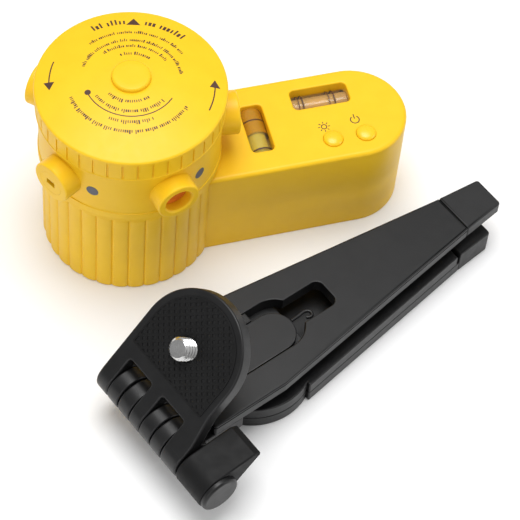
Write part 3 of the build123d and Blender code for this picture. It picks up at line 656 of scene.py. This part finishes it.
def turret_wall():
    """Ledge, smooth wall and grooved band of the turret."""
    bm = bmesh.new()
    inner = TURRET_R - TURRET_WALL
    rings = [plain_ring(radius, z) for radius, z in (
        (TURRET_THROAT_R, TURRET_BOTTOM), (LEDGE_R - 0.2, TURRET_BOTTOM), (LEDGE_R, TURRET_BOTTOM + 0.2),
        (LEDGE_R, LEDGE_TOP - 0.25), (LEDGE_R - 0.07, LEDGE_TOP - 0.08), (TURRET_R + 0.04, LEDGE_TOP),
        (TURRET_R, LEDGE_TOP + 0.12), (TURRET_R, BAND_BOTTOM - 0.1), (TURRET_R + 0.08, BAND_BOTTOM),
        (BAND_R, BAND_BOTTOM + 0.02), (BAND_R + 0.15, BAND_BOTTOM + 0.18),
        (BAND_R + 0.15, BAND_BOTTOM + 0.45), (BAND_R, BAND_BOTTOM + 0.6))]
    rings += [band_ring(z, 0.34) for z in (BAND_BOTTOM + 0.75, BAND_TOP)]
    floor = TURRET_BOTTOM + TURRET_FLOOR_T
    rings += [plain_ring(inner, BAND_TOP), plain_ring(inner, floor), plain_ring(TURRET_THROAT_R, floor)]
    first, last = stack(bm, rings)
    bridge(bm, last, first)
    return bm


def radial(azimuth):
    """Puts a shape turned about Z on the turret's side at an azimuth."""
    turn = Matrix.Rotation(radians(azimuth), 4, "Z")
    return turn @ shift(0, 0, BEAM_Z) @ ALONG_X


def barrel(flare):
    """One barrel; flare is the width of the bevel round its bore."""
    corners = [(0, BARREL_ROOT, 0), (BARREL_R, BARREL_ROOT, 0), (BARREL_R, BARREL_FACE, 0.55),
               (BARREL_BORE_R + flare, BARREL_FACE, flare * 0.3),
               (BARREL_BORE_R, BARREL_FACE - flare, flare * 0.3),
               (BARREL_BORE_R, BARREL_FLOOR, 0), (0, BARREL_FLOOR, 0)]
    return turned(corners, 72)


def azimuths():
    """Directions of the barrels, the laser's dot window first."""
    return [BEAM_AZIMUTH + 360 * i / WINDOWS for i in range(WINDOWS)]


def make_turret():
    barrels = [moved(barrel(0.06 if i else 0.5), radial(azimuth)) for i, azimuth in enumerate(azimuths())]
    piece("turret_shell", merge(turret_wall(), *barrels), "turret", YELLOW,
          ["turret_skirt"])
    slots = {"upright": (0.5, 1.6), "level": (1.6, 0.5), "cross": (0.4, 1.8), "wide": (1.5, 1.0)}
    for (kind, (half_y, half_z)), azimuth in zip(slots.items(), azimuths()[1:]):
        # In the turned frame a slot's X is down and its Y is sideways.
        if kind == "cross":
            corners = [(-half_z, -half_y, 0.2), (-half_y, -half_y, 0), (-half_y, -half_z, 0.2)]
            for _ in range(3):
                corners += [(-y, x, radius) for x, y, radius in corners[-3:]]
            hole = rounded(corners, 3)
        else:
            hole = box_outline(-half_z, half_z, -half_y, half_y, 0.35)
        face = slab(circle(0, 0, BARREL_BORE_R - 0.02, 72), BARREL_FACE - 2.0, BARREL_FACE - 0.02,
                    0.15, 0.06, [hole])
        piece("%s_line_face" % kind, face, "turret", YELLOW,
              ["%s_line_plate" % kind], radial(azimuth))
    seat = BARREL_FLOOR + 0.2
    lens_r = BARREL_BORE_R - 0.03
    lens = turned([(0, seat, 0), (lens_r, seat, 0.2), (lens_r, seat + 1.2, 0.3), (2.2, seat + 1.6, 0.6),
                   (0, seat + 1.7, 0)], 64)
    # The dot lens carries a painted glow in its bore.
    piece("dot_lens", lens, "turret", DOT_LENS_PAINTED_GLOW, ["dot_window"], radial(BEAM_AZIMUTH))


def dome_height(radius):
    return CAP_CROWN - DOME_R + sqrt(DOME_R ** 2 - radius ** 2)


def make_cap():
    seat = PLUG_R + 0.02
    profile = [(0, CAP_CROWN - 1.0), (seat, CAP_CROWN - 1.0), (seat, dome_height(seat) - 0.05),
               (seat + 0.12, dome_height(seat + 0.12))]
    edge = CAP_R - CAP_EDGE_R
    for i in range(1, 25):
        radius = seat + 0.12 + (edge - seat - 0.12) * i / 24
        profile.append((radius, dome_height(radius)))
    for i in range(1, 7):
        a = radians(82 - 82 * i / 6)
        profile.append((edge + CAP_EDGE_R * cos(a), dome_height(edge) - CAP_EDGE_R * (1 - sin(a))))
    profile += [(CAP_R, BAND_TOP + 0.2), (CAP_R - 0.15, BAND_TOP + 0.03), (24.8, BAND_TOP),
                (22.8, BAND_TOP), (22.8, BAND_TOP - 1.6), (21.6, BAND_TOP - 1.6), (21.6, BAND_TOP + 0.8),
                (0, CAP_CROWN - 2.4)]
    piece("turret_cap", lathe(profile, 160), "turret", YELLOW, ["head_cap"])
    plug = turned([(0, CAP_CROWN - 0.9, 0), (PLUG_R, CAP_CROWN - 0.9, 0), (PLUG_R, PLUG_TOP - 0.08, 0.75),
                   (3.4, PLUG_TOP, 2.0), (0, PLUG_TOP, 0)], 96)
    piece("cap_plug", plug, "turret", YELLOW, ["centre_plug"])


# -------------------- print

def ribbon(bm, line, width, height):
    """A thin printed stroke along a line of (x, y) on the surface height(x, y)."""
    rings = []
    for i, (x, y) in enumerate(line):
        ahead = Vector(line[min(i + 1, len(line) - 1)]) - Vector(line[max(i - 1, 0)])
        side = Vector((-ahead.y, ahead.x)).normalized() * width / 2
        left = (x + side.x, y + side.y)
        right = (x - side.x, y - side.y)
        top = [(*p, height(*p) + PRINT_T) for p in (left, right)]
        low = [(*p, height(*p) - PRINT_ROOT) for p in (right, left)]
        rings.append(top + low)
    first, last = stack(bm, rings)
    bm.faces.new(first)
    bm.faces.new(list(reversed(last)))


def blot(bm, outline, height):
    """A thin printed patch with a straight-sided outline."""
    low = add_ring(bm, [(x, y, height(x, y) - PRINT_ROOT) for x, y in outline])
    high = add_ring(bm, [(x, y, height(x, y) + PRINT_T) for x, y in outline])
    bridge(bm, low, high)
    bm.faces.new(high)
    bm.faces.new(list(reversed(low)))


def on_cap(x, y):
    return dome_height(hypot(x, y))


def on_arm(_x, _y):
    return ARM_TOP


def polar(radius, azimuth):
    return (radius * cos(radians(azimuth)), radius * sin(radians(azimuth)))


def dashes(bm, radius, start, end, size, seed):
    """Groups of upright dashes of two heights along an arc of the cap, in place of printed lines."""
    rng = random.Random(seed)
    azimuth = start
    step = degrees(size * 0.46 / radius)
    left = rng.randint(4, 9)
    while azimuth < end:
        if left > 0:
            tall = size * rng.choice((0.62, 0.62, 0.62, 0.92))
            low = radius - size * 0.3
            width = size * rng.choice((0.2, 0.2, 0.32))
            ribbon(bm, [polar(low, azimuth), polar(low + tall, azimuth)], width, on_cap)
            left -= 1
            azimuth += step
        else:
            left = rng.randint(4, 9)
            azimuth += step * 0.8


def arrow(bm, radius, start, end, head):
    """A curved arrow round the cap that points anticlockwise."""
    line = [polar(radius, start + (end - start) * i / 10) for i in range(11)]
    ribbon(bm, line, 0.34, on_cap)
    spread = degrees(head / radius)
    blot(bm, [polar(radius - head * 0.55, end), polar(radius + head * 0.55, end),
              polar(radius, end + spread)], on_cap)


def make_cap_print():
    bm = bmesh.new()
    for seed, (radius, start, end, size) in enumerate(PRINT_ROWS):
        dashes(bm, radius, start, end, size, seed)
    ribbon(bm, [polar(12.5, -170 + 127 * i / 30) for i in range(31)], 0.28, on_cap)
    blot(bm, circle(*polar(12.4, -171), 0.85, 20), on_cap)
    blot(bm, [polar(19.9, 80.5), polar(19.9, 69.5), polar(22.6, 75)], on_cap)
    arrow(bm, 21.8, 148, 167, 2.6)
    arrow(bm, 22.4, -36, -16, 2.6)
    piece("cap_print", bm, "turret", INK)


def make_spots():
    """A round painted spot beside each barrel, bent round the turret."""
    bm = bmesh.new()
    turns = [2 * pi * i / 28 for i in range(28)]
    for azimuth in azimuths():
        centre = radians(azimuth + SPOT_SHIFT)
        rings = []
        for radius in (TURRET_R - 0.1, TURRET_R + 0.04):
            around = [(centre + SPOT_R * cos(a) / TURRET_R, SPOT_Z + SPOT_R * sin(a)) for a in turns]
            rings.append([(radius * cos(angle), radius * sin(angle), z) for angle, z in around])
        low, high = stack(bm, rings)
        bm.faces.new(high)
        bm.faces.new(list(reversed(low)))
    piece("turret_spots", bm, "turret", BLUE_DOT)


def make_icons():
    """A lamp with eight rays and a power sign, above the two buttons."""
    bm = bmesh.new()
    x, y = 55.0, -3.6
    ribbon(bm, arc(x, y, 0.75, 0, 360, 24), 0.26, on_arm)
    for i in range(8):
        ray = [(x + r * cos(radians(45 * i)), y + r * sin(radians(45 * i))) for r in (1.15, 1.75)]
        ribbon(bm, ray, 0.24, on_arm)
    x, y = 64.2, -3.0
    ribbon(bm, arc(x, y, 1.25, 125, 415, 28), 0.28, on_arm)
    ribbon(bm, [(x, y + 0.3), (x, y + 1.9)], 0.28, on_arm)
    piece("arm_icons", bm, "level", INK)


# -------------------- buttons and vials

def make_buttons():
    flange_r = BUTTON_R + 1.0
    rim = ARM_TOP + BUTTON_RIM
    profile = [(0, ARM_TOP - 4.3), (1.2, ARM_TOP - 4.3), (1.2, ARM_TOP - 3.4), (flange_r, ARM_TOP - 3.4),
               (flange_r, ARM_TOP - 2.5), (BUTTON_R, ARM_TOP - 2.5), (BUTTON_R, rim)]
    for i in range(1, 12):
        a = radians(90 * i / 12)
        profile.append((BUTTON_R * cos(a), rim + (BUTTON_RISE - BUTTON_RIM) * sin(a)))
    profile.append((0, ARM_TOP + BUTTON_RISE))
    for name, (x, y) in (("lamp", LAMP_BUTTON), ("power", POWER_BUTTON)):
        piece("%s_button_dome" % name, lathe(profile, 64), "%s_button" % name,
              YELLOW_BUTTON, ["%s_button" % name], shift(x, y, 0))


def capsule(radius, half, segments=32):
    """A round-ended bubble along Z."""
    profile = [(radius * sin(radians(15 * i)), -half - radius * cos(radians(15 * i))) for i in range(7)]
    profile += [(r, -z) for r, z in reversed(profile)]
    return lathe(clean_line(profile), segments)


def hollowed(outer, inner):
    """A closed mesh with another one inside it as its hollow."""
    for bm in (outer, inner):
        bmesh.ops.recalc_face_normals(bm, faces=bm.faces)
    bmesh.ops.reverse_faces(inner, faces=inner.faces)
    mesh = bpy.data.meshes.new("hollow")
    inner.to_mesh(mesh)
    inner.free()
    outer.from_mesh(mesh)
    return outer


def vial_body(radius, half, edge):
    return turned([(0, -half, 0), (radius, -half, edge), (radius, half, edge), (0, half, 0)], 72)


def band(inner_r, outer_r, z0, z1):
    """A thin ring round a vial."""
    return lathe([(inner_r, z0), (outer_r, z0), (outer_r, z1), (inner_r, z1)], 72, closed=True)


def make_vial(name, length, place, fluid_look, bubble, lines, sleeve=None):
    """Tube, spirit, side walls, printed rings and sleeve of a vial, made along Z.

    bubble is (centre, half length), lines are (centre, width) and sleeve is (start, end)."""
    half = length / 2
    bore = VIAL_R - VIAL_WALL
    tube = hollowed(vial_body(VIAL_R, half, 0.9), vial_body(bore, half - VIAL_END_T, 0.5))
    piece("%s_tube" % name, tube, "level", ACRYLIC, [name], place, recalc=False)
    inside = bore - 0.05
    centre, reach = bubble
    air = moved(capsule(BUBBLE_R, reach), shift(BUBBLE_R + 0.1 - inside, 0, centre))
    fluid = hollowed(vial_body(inside, half - VIAL_END_T - 0.1, 0.5), air)
    piece("%s_spirit" % name, fluid, "level", fluid_look, ["%s_fluid" % name], place,
          recalc=False)
    walls = [slab(box_outline(-1.1, 0.3, side - 0.4, side + 0.4, 0.1), 2 - half, half - 2, 0.1, 0.1)
             for side in (-VIAL_R - 0.5, VIAL_R + 0.5)]
    piece("%s_fence" % name, merge(*walls), "level", YELLOW, (), place)
    marks = [band(VIAL_R - 0.03, VIAL_R + 0.07, z - w / 2, z + w / 2) for z, w in lines]
    piece("%s_rings" % name, merge(*marks), "level", INK, (), place)
    if sleeve:
        piece("%s_sleeve" % name, merge(band(VIAL_R - 0.02, VIAL_R + 0.04, *sleeve)), "level",
              AMBER, (), place)


def make_vials():
    # A vial's frame has Z along it and X pointing down.
    lying = Matrix.Rotation(pi / 2, 4, "Y")
    cross = shift(CROSS_VIAL_X, 0, VIAL_Z) @ Matrix.Rotation(pi / 2, 4, "Z") @ lying
    long = shift(LONG_VIAL_X, LONG_VIAL_Y, VIAL_Z) @ lying
    make_vial("cross_vial", CROSS_VIAL_L, cross, GREEN_SPIRIT, (2.6, 1.6), [(3.9, 0.4), (-6.3, 0.45)],
              (-0.5, 8.3))
    # The long vial's spirit carries a painted reflection of the yellow walls as its amber tint.
    make_vial("long_vial", LONG_VIAL_L, long, CLEAR_SPIRIT_PAINTED_REFLECTION, (-0.6, 2.0),
              [(-5.0, 0.35), (-6.2, 0.22), (4.25, 0.35), (2.7, 0.22)])


# -------------------- tripod

def keyhole_outline():
    """Window of the top leg: a wide stretch, a rounded shoulder and a narrow head."""
    corner = HEAD_CORNER_R
    right_turn = degrees(asin(HEAD_RIGHT / KEYHOLE_R))
    left_turn = degrees(asin(HEAD_LEFT / KEYHOLE_R))
    points = [(KEYHOLE_START, -KEYHOLE_R)] + arc(KEYHOLE_X, 0, KEYHOLE_R, -90, right_turn, 10)
    points += arc(HEAD_END - corner, HEAD_RIGHT + corner, corner, -90, 0, 7)
    points += arc(HEAD_END - corner, HEAD_LEFT - corner, corner, 0, 90, 7)
    points += arc(KEYHOLE_X, 0, KEYHOLE_R, left_turn, 90, 10) + [(KEYHOLE_START, KEYHOLE_R)]
    return clean_loop(points)


def make_top_leg():
    outline = rounded([(TOP_LEG_START, -SHOULDER_HALF, 0.8), (SHOULDER_X, -SHOULDER_HALF, 3.0),
                       (TIP_SEAM_X, -TIP_SEAM_HALF, 0.25), (TIP_SEAM_X, TIP_SEAM_HALF, 0.25),
                       (SHOULDER_X, SHOULDER_HALF, 3.0), (TOP_LEG_START, SHOULDER_HALF, 0.8)])
    levels = edge_levels(TOP_LEG_BOTTOM, TOP_LEG_TOP, 0.2, 0.45)
    upper = [level for level in levels if level[0] > TOP_LEG_BOTTOM + 2]
    lower = [level for level in levels if level[0] < TOP_LEG_BOTTOM + 2]
    groove = TOP_LEG_TOP - 0.95
    line = [(groove - 0.26, 0), (groove - 0.2, 0.5), (groove + 0.2, 0.5), (groove + 0.26, 0)]
    leg = slab(outline, TOP_LEG_BOTTOM, TOP_LEG_TOP, 0.2, 0.4, [keyhole_outline()],
               lower + line + upper)
    piece("top_leg_plate", leg, "tripod", BLACK, ["top_leg"], ON_TRIPOD)


def tip_outline(x0, x1, half0, half1):
    """A tapered block with its far corners rounded."""
    return rounded([(x0, -half0, 0.3), (x1, -half1, 0.9), (x1, half1, 0.9), (x0, half0, 0.3)])


def make_tip(name, body, node, seam, end, z0, z1, tenon_half, tenon_z1):
    """A rubber tip with the tenon that holds it in its leg; seam and end are (x, half width)."""
    tip = slab(tip_outline(seam[0] + 0.15, end[0], seam[1], end[1]), z0, z1, 0.35, 0.4)
    tenon = slab(box_outline(seam[0] - 3.9, seam[0] + 0.5, -tenon_half, tenon_half), z0 + 1.05,
                 tenon_z1 - 1.05, 0.1, 0.1)
    piece(name, merge(tip, tenon), body, BLACK_TIP, [node], ON_TRIPOD)


def swing_outline(end_x):
    """A round root about the rivet, a step, and a tapered bar."""
    share = (end_x - LEG_ROOT_X) / (LEG_SEAM_X - LEG_ROOT_X)
    end_half = LEG_ROOT_HALF + share * (LEG_SEAM_HALF - LEG_ROOT_HALF)
    start = degrees(acos((LEG_ROOT_X - PIVOT_X) / LEG_DISC_R))
    points = [(LEG_ROOT_X, -LEG_ROOT_HALF + 0.3), (LEG_ROOT_X + 0.3, -LEG_ROOT_HALF + 0.02),
              (end_x, -end_half), (end_x, end_half),
              (LEG_ROOT_X + 0.3, LEG_ROOT_HALF - 0.02), (LEG_ROOT_X, LEG_ROOT_HALF - 0.3)]
    return clean_loop(points + arc(PIVOT_X, 0, LEG_DISC_R, start, 360 - start, 56))


def make_swing_legs():
    hole = circle(PIVOT_X, 0, RIVET_R, 40)
    for leg, end_x, z0 in (("lower_leg", LEG_SEAM_X, 0), ("middle_leg", MIDDLE_END_X, LEG_T + LEG_GAP)):
        bar = slab(swing_outline(end_x), z0, z0 + LEG_T, 0.3, 0.3, [hole])
        piece("%s_bar" % leg, bar, leg, BLACK, [leg], ON_TRIPOD)


def knuckle_spans():
    """Stretches along the hinge: the plate's three knuckles and the block's four."""
    plate = ((HINGE_RIGHT, -13.1), (-3.6, 0.9), (10.6, HINGE_LEFT))
    base = ((-12.9, -8.6), (-8.2, -3.8), (1.1, 5.6), (6.1, 10.4))
    return plate, base


def side_slab(outline, y0, y1, edge):
    """A slab whose outline is in X and Z, between two places along Y."""
    return moved(slab(outline, -y1, -y0, edge, edge), SIDEWAYS)


def make_hinge_block():
    flat_z = SLAB_TOP - HINGE_Z
    reach = sqrt(HINGE_R ** 2 - flat_z ** 2)
    start = degrees(atan2(flat_z, reach))
    corners = [(0, -HINGE_R), (HINGE_R + 1.4, -HINGE_R), (HINGE_R + 1.4, flat_z)]
    outline = clean_loop(corners + arc(0, 0, HINGE_R, start, 270, 44))
    knuckles = [moved(side_slab(outline, y0, y1, 0.45), shift(HINGE_X, 0, HINGE_Z))
                for y0, y1 in knuckle_spans()[1]]
    plan = rounded([(HINGE_X + HINGE_R + 0.6, -11.5, 0.5), (58, -11.5, 6), (58, 11.5, 6),
                    (HINGE_X + HINGE_R + 0.6, 11.5, 0.5)])
    body = slab(plan, SLAB_BOTTOM, SLAB_TOP, 0.3, 0.3)
    shelf = slab(box_outline(HINGE_X + HINGE_R + 0.6, 30, -16.2, 16.2, 0.8), SLAB_BOTTOM + 0.02,
                 SLAB_TOP - 0.02, 0.3, 0.3)
    piece("hinge_base", merge(body, shelf, *knuckles), "tripod", BLACK, ["hinge_block"],
          ON_TRIPOD)


def plate_outline():
    left = PLATE_Y + PLATE_R
    right = PLATE_Y - PLATE_R
    points = [(0, HINGE_RIGHT, 0), (5, HINGE_RIGHT, 5), (14, right, 10), (PLATE_REACH, right, 0)]
    points += [(x, y, 0) for x, y in arc(PLATE_REACH, PLATE_Y, PLATE_R, -90, 90, 48)[1:-1]]
    points += [(PLATE_REACH, left, 0), (0, HINGE_LEFT, 0)]
    points += [(0, 10.6, 0), (8.1, 10.6, 0.8), (8.1, 0.9, 0.8), (0, 0.9, 0), (0, -3.6, 0),
               (8.1, -3.6, 0.8), (8.1, -13.1, 0.8), (0, -13.1, 0)]
    return rounded(points)


def pad_outline():
    radius = PLATE_R - PAD_BORDER
    left = PLATE_Y + radius
    right = PLATE_Y - radius
    points = [(12.05, right + 0.4), (12.45, right)] + arc(PLATE_REACH, PLATE_Y, radius, -90, 90, 48)
    return clean_loop(points + [(12.45, left), (12.05, left - 0.4)])


def make_camera_plate():
    bottom = HINGE_R - PLATE_T
    hole = circle(STUD_REACH, STUD_Y, SCREW_R + 0.02, 40)
    sheet = slab(plate_outline(), bottom, HINGE_R, 0.5, 0.55, [hole])
    knuckles = [moved(rod(HINGE_R, y1 - y0, 0.7, 72), shift(0, y1, 0) @ SIDEWAYS)
                for y0, y1 in knuckle_spans()[0]]
    piece("tilting_plate", merge(sheet, *knuckles), "camera_plate", BLACK,
          ["camera_plate"], ON_PLATE)


def crossings(outline, point, along):
    """Where a line through a point crosses a convex outline, as distances along the line."""
    across = Vector((-along.y, along.x))
    found = []
    for i in range(len(outline)):
        a = Vector(outline[i - 1]) - point
        b = Vector(outline[i]) - point
        side_a, side_b = a.dot(across), b.dot(across)
        if (side_a < 0) != (side_b < 0):
            share = side_a / (side_a - side_b)
            found.append((a + (b - a) * share).dot(along))
    return sorted(found)


def pad_ribs():
    """Diagonal crossing ribs, each cut to the pad's outline and left open round the screw."""
    root = PAD_TOP - 0.65
    limit = inset(pad_outline(), 0.5)
    stud = Vector((STUD_REACH, STUD_Y))
    clear_r = SCREW_R + 0.6
    ribs = []
    for turn, top in ((45, PAD_TOP), (-45, PAD_TOP - 0.012)):
        along = Vector((cos(radians(turn)), sin(radians(turn))))
        across = Vector((-along.y, along.x))
        for i in range(-12, 13):
            point = stud + across * (i + 0.5) * RIB_PITCH
            ends = crossings(limit, point, along)
            if len(ends) < 2:
                continue
            spans = [ends]
            off = abs((i + 0.5) * RIB_PITCH)
            if off < clear_r:
                gap = sqrt(clear_r ** 2 - off ** 2)
                spans = [(ends[0], -gap), (gap, ends[1])]
            turned_to = shift(point.x, point.y, 0) @ Matrix.Rotation(radians(turn), 4, "Z")
            for start, end in spans:
                if end - start > 1.0:
                    plan = box_outline(start, end, -RIB_WIDTH / 2, RIB_WIDTH / 2)
                    rib = slab(plan, root, top, levels=edge_levels(root, top, 0, 0.12, 2), margin=0)
                    ribs.append(moved(rib, turned_to))
    return ribs


def make_pad():
    base = slab(pad_outline(), HINGE_R - 0.55, PAD_TOP - 0.6, 0.05, 0.1,
                [circle(STUD_REACH, STUD_Y, SCREW_R + 0.3, 40)])
    border_levels = edge_levels(HINGE_R, PAD_TOP, 0, 0.1, 2)
    rim = bmesh.new()
    outer = stack(rim, wall_rings(pad_outline(), border_levels))
    inner = stack(rim, wall_rings(inset(pad_outline(), 0.55), [(HINGE_R, 0), (PAD_TOP - 0.02, 0)]))
    for outside, inside in zip(outer, inner):
        bridge(rim, outside, inside)
    piece("waffle_pad", merge(base, rim, *pad_ribs()), "camera_plate", RUBBER,
          ["plate_pad"], ON_PLATE)


def make_camera_screw():
    """Threaded stud: the radius follows a helix, and fades out at the chamfered end."""
    segments = 72
    rings = []
    z = HINGE_R - PLATE_T + 1.7
    while z < SCREW_TOP + 1e-6:
        ring = []
        for i in range(segments):
            turn = i / segments
            phase = (z / SCREW_PITCH - turn) % 1.0
            crest = max(0.0, 1 - abs(phase - 0.5) / 0.42)
            radius = SCREW_R - THREAD_DEPTH + THREAD_DEPTH * min(1.0, crest * 1.25)
            radius = min(radius, SCREW_R - 0.75 + (SCREW_TOP - z) * 1.1)
            ring.append((radius * cos(2 * pi * turn), radius * sin(2 * pi * turn), z))
        rings.append(ring)
        z += 0.07
    bm = bmesh.new()
    first, last = stack(bm, rings)
    fill(bm, first)
    dome = [add_ring(bm, [(v.co.x * k, v.co.y * k, SCREW_TOP + 0.05 * (1 - k)) for v in last])
            for k in (0.85, 0.4)]
    bridge(bm, last, dome[0])
    bridge(bm, dome[0], dome[1])
    fill(bm, dome[1])
    head = moved(rod(5.5, 1.6, 0.3, 72), shift(0, 0, HINGE_R - PLATE_T + 0.1))
    piece("camera_stud", moved(merge(bm, head), shift(STUD_REACH, STUD_Y, 0)),
          "camera_plate", CHROME, ["camera_screw"], ON_PLATE, 40)


def make_lever():
    y1 = HINGE_RIGHT - LEVER_GAP
    y0 = y1 - LEVER_WIDTH
    foot = (0.8 * HINGE_R, -0.6 * HINGE_R)
    start = degrees(atan2(foot[1], foot[0]))
    tip_z = HINGE_R + 1.2
    profile = [foot, (LEVER_REACH + 0.3, tip_z - 1.75), (LEVER_REACH + 0.55, tip_z - 1.5),
               (LEVER_REACH + 0.45, tip_z - 1.3), (LEVER_REACH - 1.35, tip_z - 0.17),
               (LEVER_REACH - 1.7, tip_z - 0.03)]
    outline = clean_loop(profile + arc(0, 0, HINGE_R, 90, 360 + start, 48))
    wedge = side_slab(outline, y0, y1, 0.55)
    piece("lever_wedge", wedge, "clamp_lever", BLACK_LEVER, ["clamp_lever"], ON_HINGE)
    cap = turned([(0, 0, 0), (HINGE_R - 0.3, 0, 0.2), (HINGE_R - 0.3, 1.6, 1.0), (0, 1.6, 0)], 72, 8)
    piece("lever_end_cap", cap, "clamp_lever", BLACK, ["lever_cap"],
          ON_HINGE @ shift(0, y0, 0) @ SIDEWAYS)


def make_latch():
    top = TOP_LEG_TOP - 0.3
    start = KEYHOLE_START + 0.1
    tongue = [(start, -7.8), (50.5, -7.8)] + arc(51, -1.5, 6.3, -90, 90, 24) + [(start, 4.8)]
    root = box_outline(start, 48.35, 4.85, 7.85, 0.2)
    foot = box_outline(start, 40, -7.85, 7.85, 0.2)
    parts = [slab(clean_loop(tongue), LATCH_BOTTOM, top, 0.2, 0.25),
             slab(root, LATCH_BOTTOM, TOP_LEG_TOP - 0.05, 0.1, 0.15),
             slab(foot, SLAB_TOP + 0.05, top - 0.2, 0.1, 0.1)]
    piece("latch_tongue", merge(*parts), "tripod", BLACK, ["leg_latch"], ON_TRIPOD)


def make_latch_wire():
    """A small bent wire at the latch's nose, as a smooth curve through its bends."""
    curve = bpy.data.curves.new("latch_wire", "CURVE")
    curve.dimensions = "3D"
    curve.bevel_depth = 0.5 * MM
    curve.bevel_resolution = 4
    curve.resolution_u = 10
    curve.use_fill_caps = True
    z = TOP_LEG_BOTTOM + 1.9
    route = ((58.0, -0.6), (60.5, -0.5), (62.8, -0.1), (64.2, -0.9), (64.2, -2.2), (63.1, -2.8),
             (62.1, -2.1))
    spline = curve.splines.new("NURBS")
    spline.points.add(len(route) - 1)
    for point, (x, y) in zip(spline.points, route):
        place = ON_TRIPOD @ Vector((x, y, z)) * MM
        point.co = (*place, 1)
    spline.order_u = 3
    spline.use_endpoint_u = True
    wire = add_object("latch_wire", curve)
    curve.materials.append(BLACK)
    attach(wire, "tripod")
    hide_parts("latch_spring")


# -------------------- pieces kept from the CAD

CAD_LOOKS = {
    "yellow_plastic": YELLOW, "amber_lens": AMBER, "clear_lens": LENS_GLASS, "vial_acrylic": ACRYLIC,
    "vial_fluid": GREEN_SPIRIT, "inner_plastic": INNER, "brass": BRASS, "steel": STEEL,
    "bright_screw": CHROME, "wire_jacket": WIRE, "switch_plastic": INNER, "board_laminate": BOARD,
    "cradle_plastic": YELLOW, "print_ink": INK, "cell_jacket": CELL, "black_plastic": BLACK,
    "black_rubber": RUBBER,
}


def dress_cad():
    """Gives every CAD node the look of its material slot."""
    slots = {row["node"]: row["material_slot"] for row in frame["record"]["subparts"]}
    for name, obj in frame["nodes"].items():
        obj.data.materials.clear()
        obj.data.materials.append(CAD_LOOKS[slots[name]])


# -------------------- floor, light, camera

def make_stage():
    mesh = bpy.data.meshes.new("floor")
    corners = ((-1, -1), (1, -1), (1, 1), (-1, 1))
    mesh.from_pydata([(x * FLOOR_HALF, y * FLOOR_HALF, FLOOR_Z) for x, y in corners], [], [range(4)])
    floor = add_object("floor", mesh)
    look = Look("pale_floor", Roughness=0.9, Specular_IOR_Level=0.0)
    look.colour(look.noise(3, 1.0), (0.955, 0.955, 0.955), (0.965, 0.965, 0.965))
    mesh.materials.append(look.material)


def area_light(name, place, size, power):
    """A round soft light that faces the object."""
    data = bpy.data.lights.new(name, "AREA")
    data.shape = "DISK"
    data.size = size
    data.energy = power
    lamp = add_object(name, data)
    lamp.location = place
    aim = Vector(LIGHT_TARGET) - Vector(place)
    lamp.rotation_euler = aim.to_track_quat("-Z", "Y").to_euler()


def make_light():
    """A studio that is dim below and bright above, a soft key light and two fills."""
    world = bpy.data.worlds.new("studio")
    bpy.context.scene.world = world
    world.use_nodes = True
    tree = world.node_tree
    background = tree.nodes["Background"]
    background.inputs["Strength"].default_value = 0.6
    place = tree.nodes.new("ShaderNodeTexCoord")
    split = tree.nodes.new("ShaderNodeSeparateXYZ")
    ramp = tree.nodes.new("ShaderNodeValToRGB")
    for stop, position, grey in zip(ramp.color_ramp.elements, (0.0, 0.8), (0.25, 1.0)):
        stop.position = position
        stop.color = (grey, grey, grey, 1)
    tree.links.new(place.outputs["Generated"], split.inputs["Vector"])
    tree.links.new(split.outputs["Z"], ramp.inputs["Fac"])
    tree.links.new(ramp.outputs["Color"], background.inputs["Color"])
    area_light("key_softbox", (0.02, 0.06, 1.0), 0.7, 7.6)
    area_light("right_fill", (0.85, -0.35, 0.35), 0.45, 1.1)
    area_light("left_fill", (-0.62, -0.62, 0.35), 0.5, 1.3)
    bpy.context.scene.view_settings.view_transform = "Standard"


def make_camera():
    azimuth, elevation, roll = map(radians, (CAMERA_AZIMUTH, CAMERA_ELEVATION, CAMERA_ROLL))
    back = Vector((sin(azimuth) * cos(elevation), -cos(azimuth) * cos(elevation), sin(elevation)))
    level_right = Vector((cos(azimuth), sin(azimuth), 0))
    level_up = back.cross(level_right)
    right = level_right * cos(roll) + level_up * sin(roll)
    up = back.cross(right)
    data = bpy.data.cameras.new("camera")
    data.lens = CAMERA_LENS
    data.sensor_width = 36.0
    camera = add_object("camera", data)
    turn = Matrix((right, up, back)).transposed().to_4x4()
    camera.matrix_world = Matrix.Translation(CAMERA_PLACE) @ turn
    bpy.context.scene.camera = camera


make_camera()
make_stage()
make_light()
dress_cad()
make_body()
make_turret()
make_cap()
make_cap_print()
make_spots()
make_icons()
make_buttons()
make_vials()
make_top_leg()
make_tip("top_tip", "tripod", "top_leg_tip", (TIP_SEAM_X, TIP_SEAM_HALF), (TIP_END_X, TIP_END_HALF),
         TOP_LEG_BOTTOM, TOP_LEG_TOP, 2.4, TOP_LEG_TOP)
make_tip("lower_tip", "lower_leg", "lower_leg_tip", (LEG_SEAM_X, LEG_SEAM_HALF),
         (LEG_END_X, LEG_END_HALF), 0, 2 * LEG_T + LEG_GAP, 3.9, LEG_T)
make_swing_legs()
make_hinge_block()
make_camera_plate()
make_pad()
make_camera_screw()
make_lever()
make_latch()
make_latch_wire()
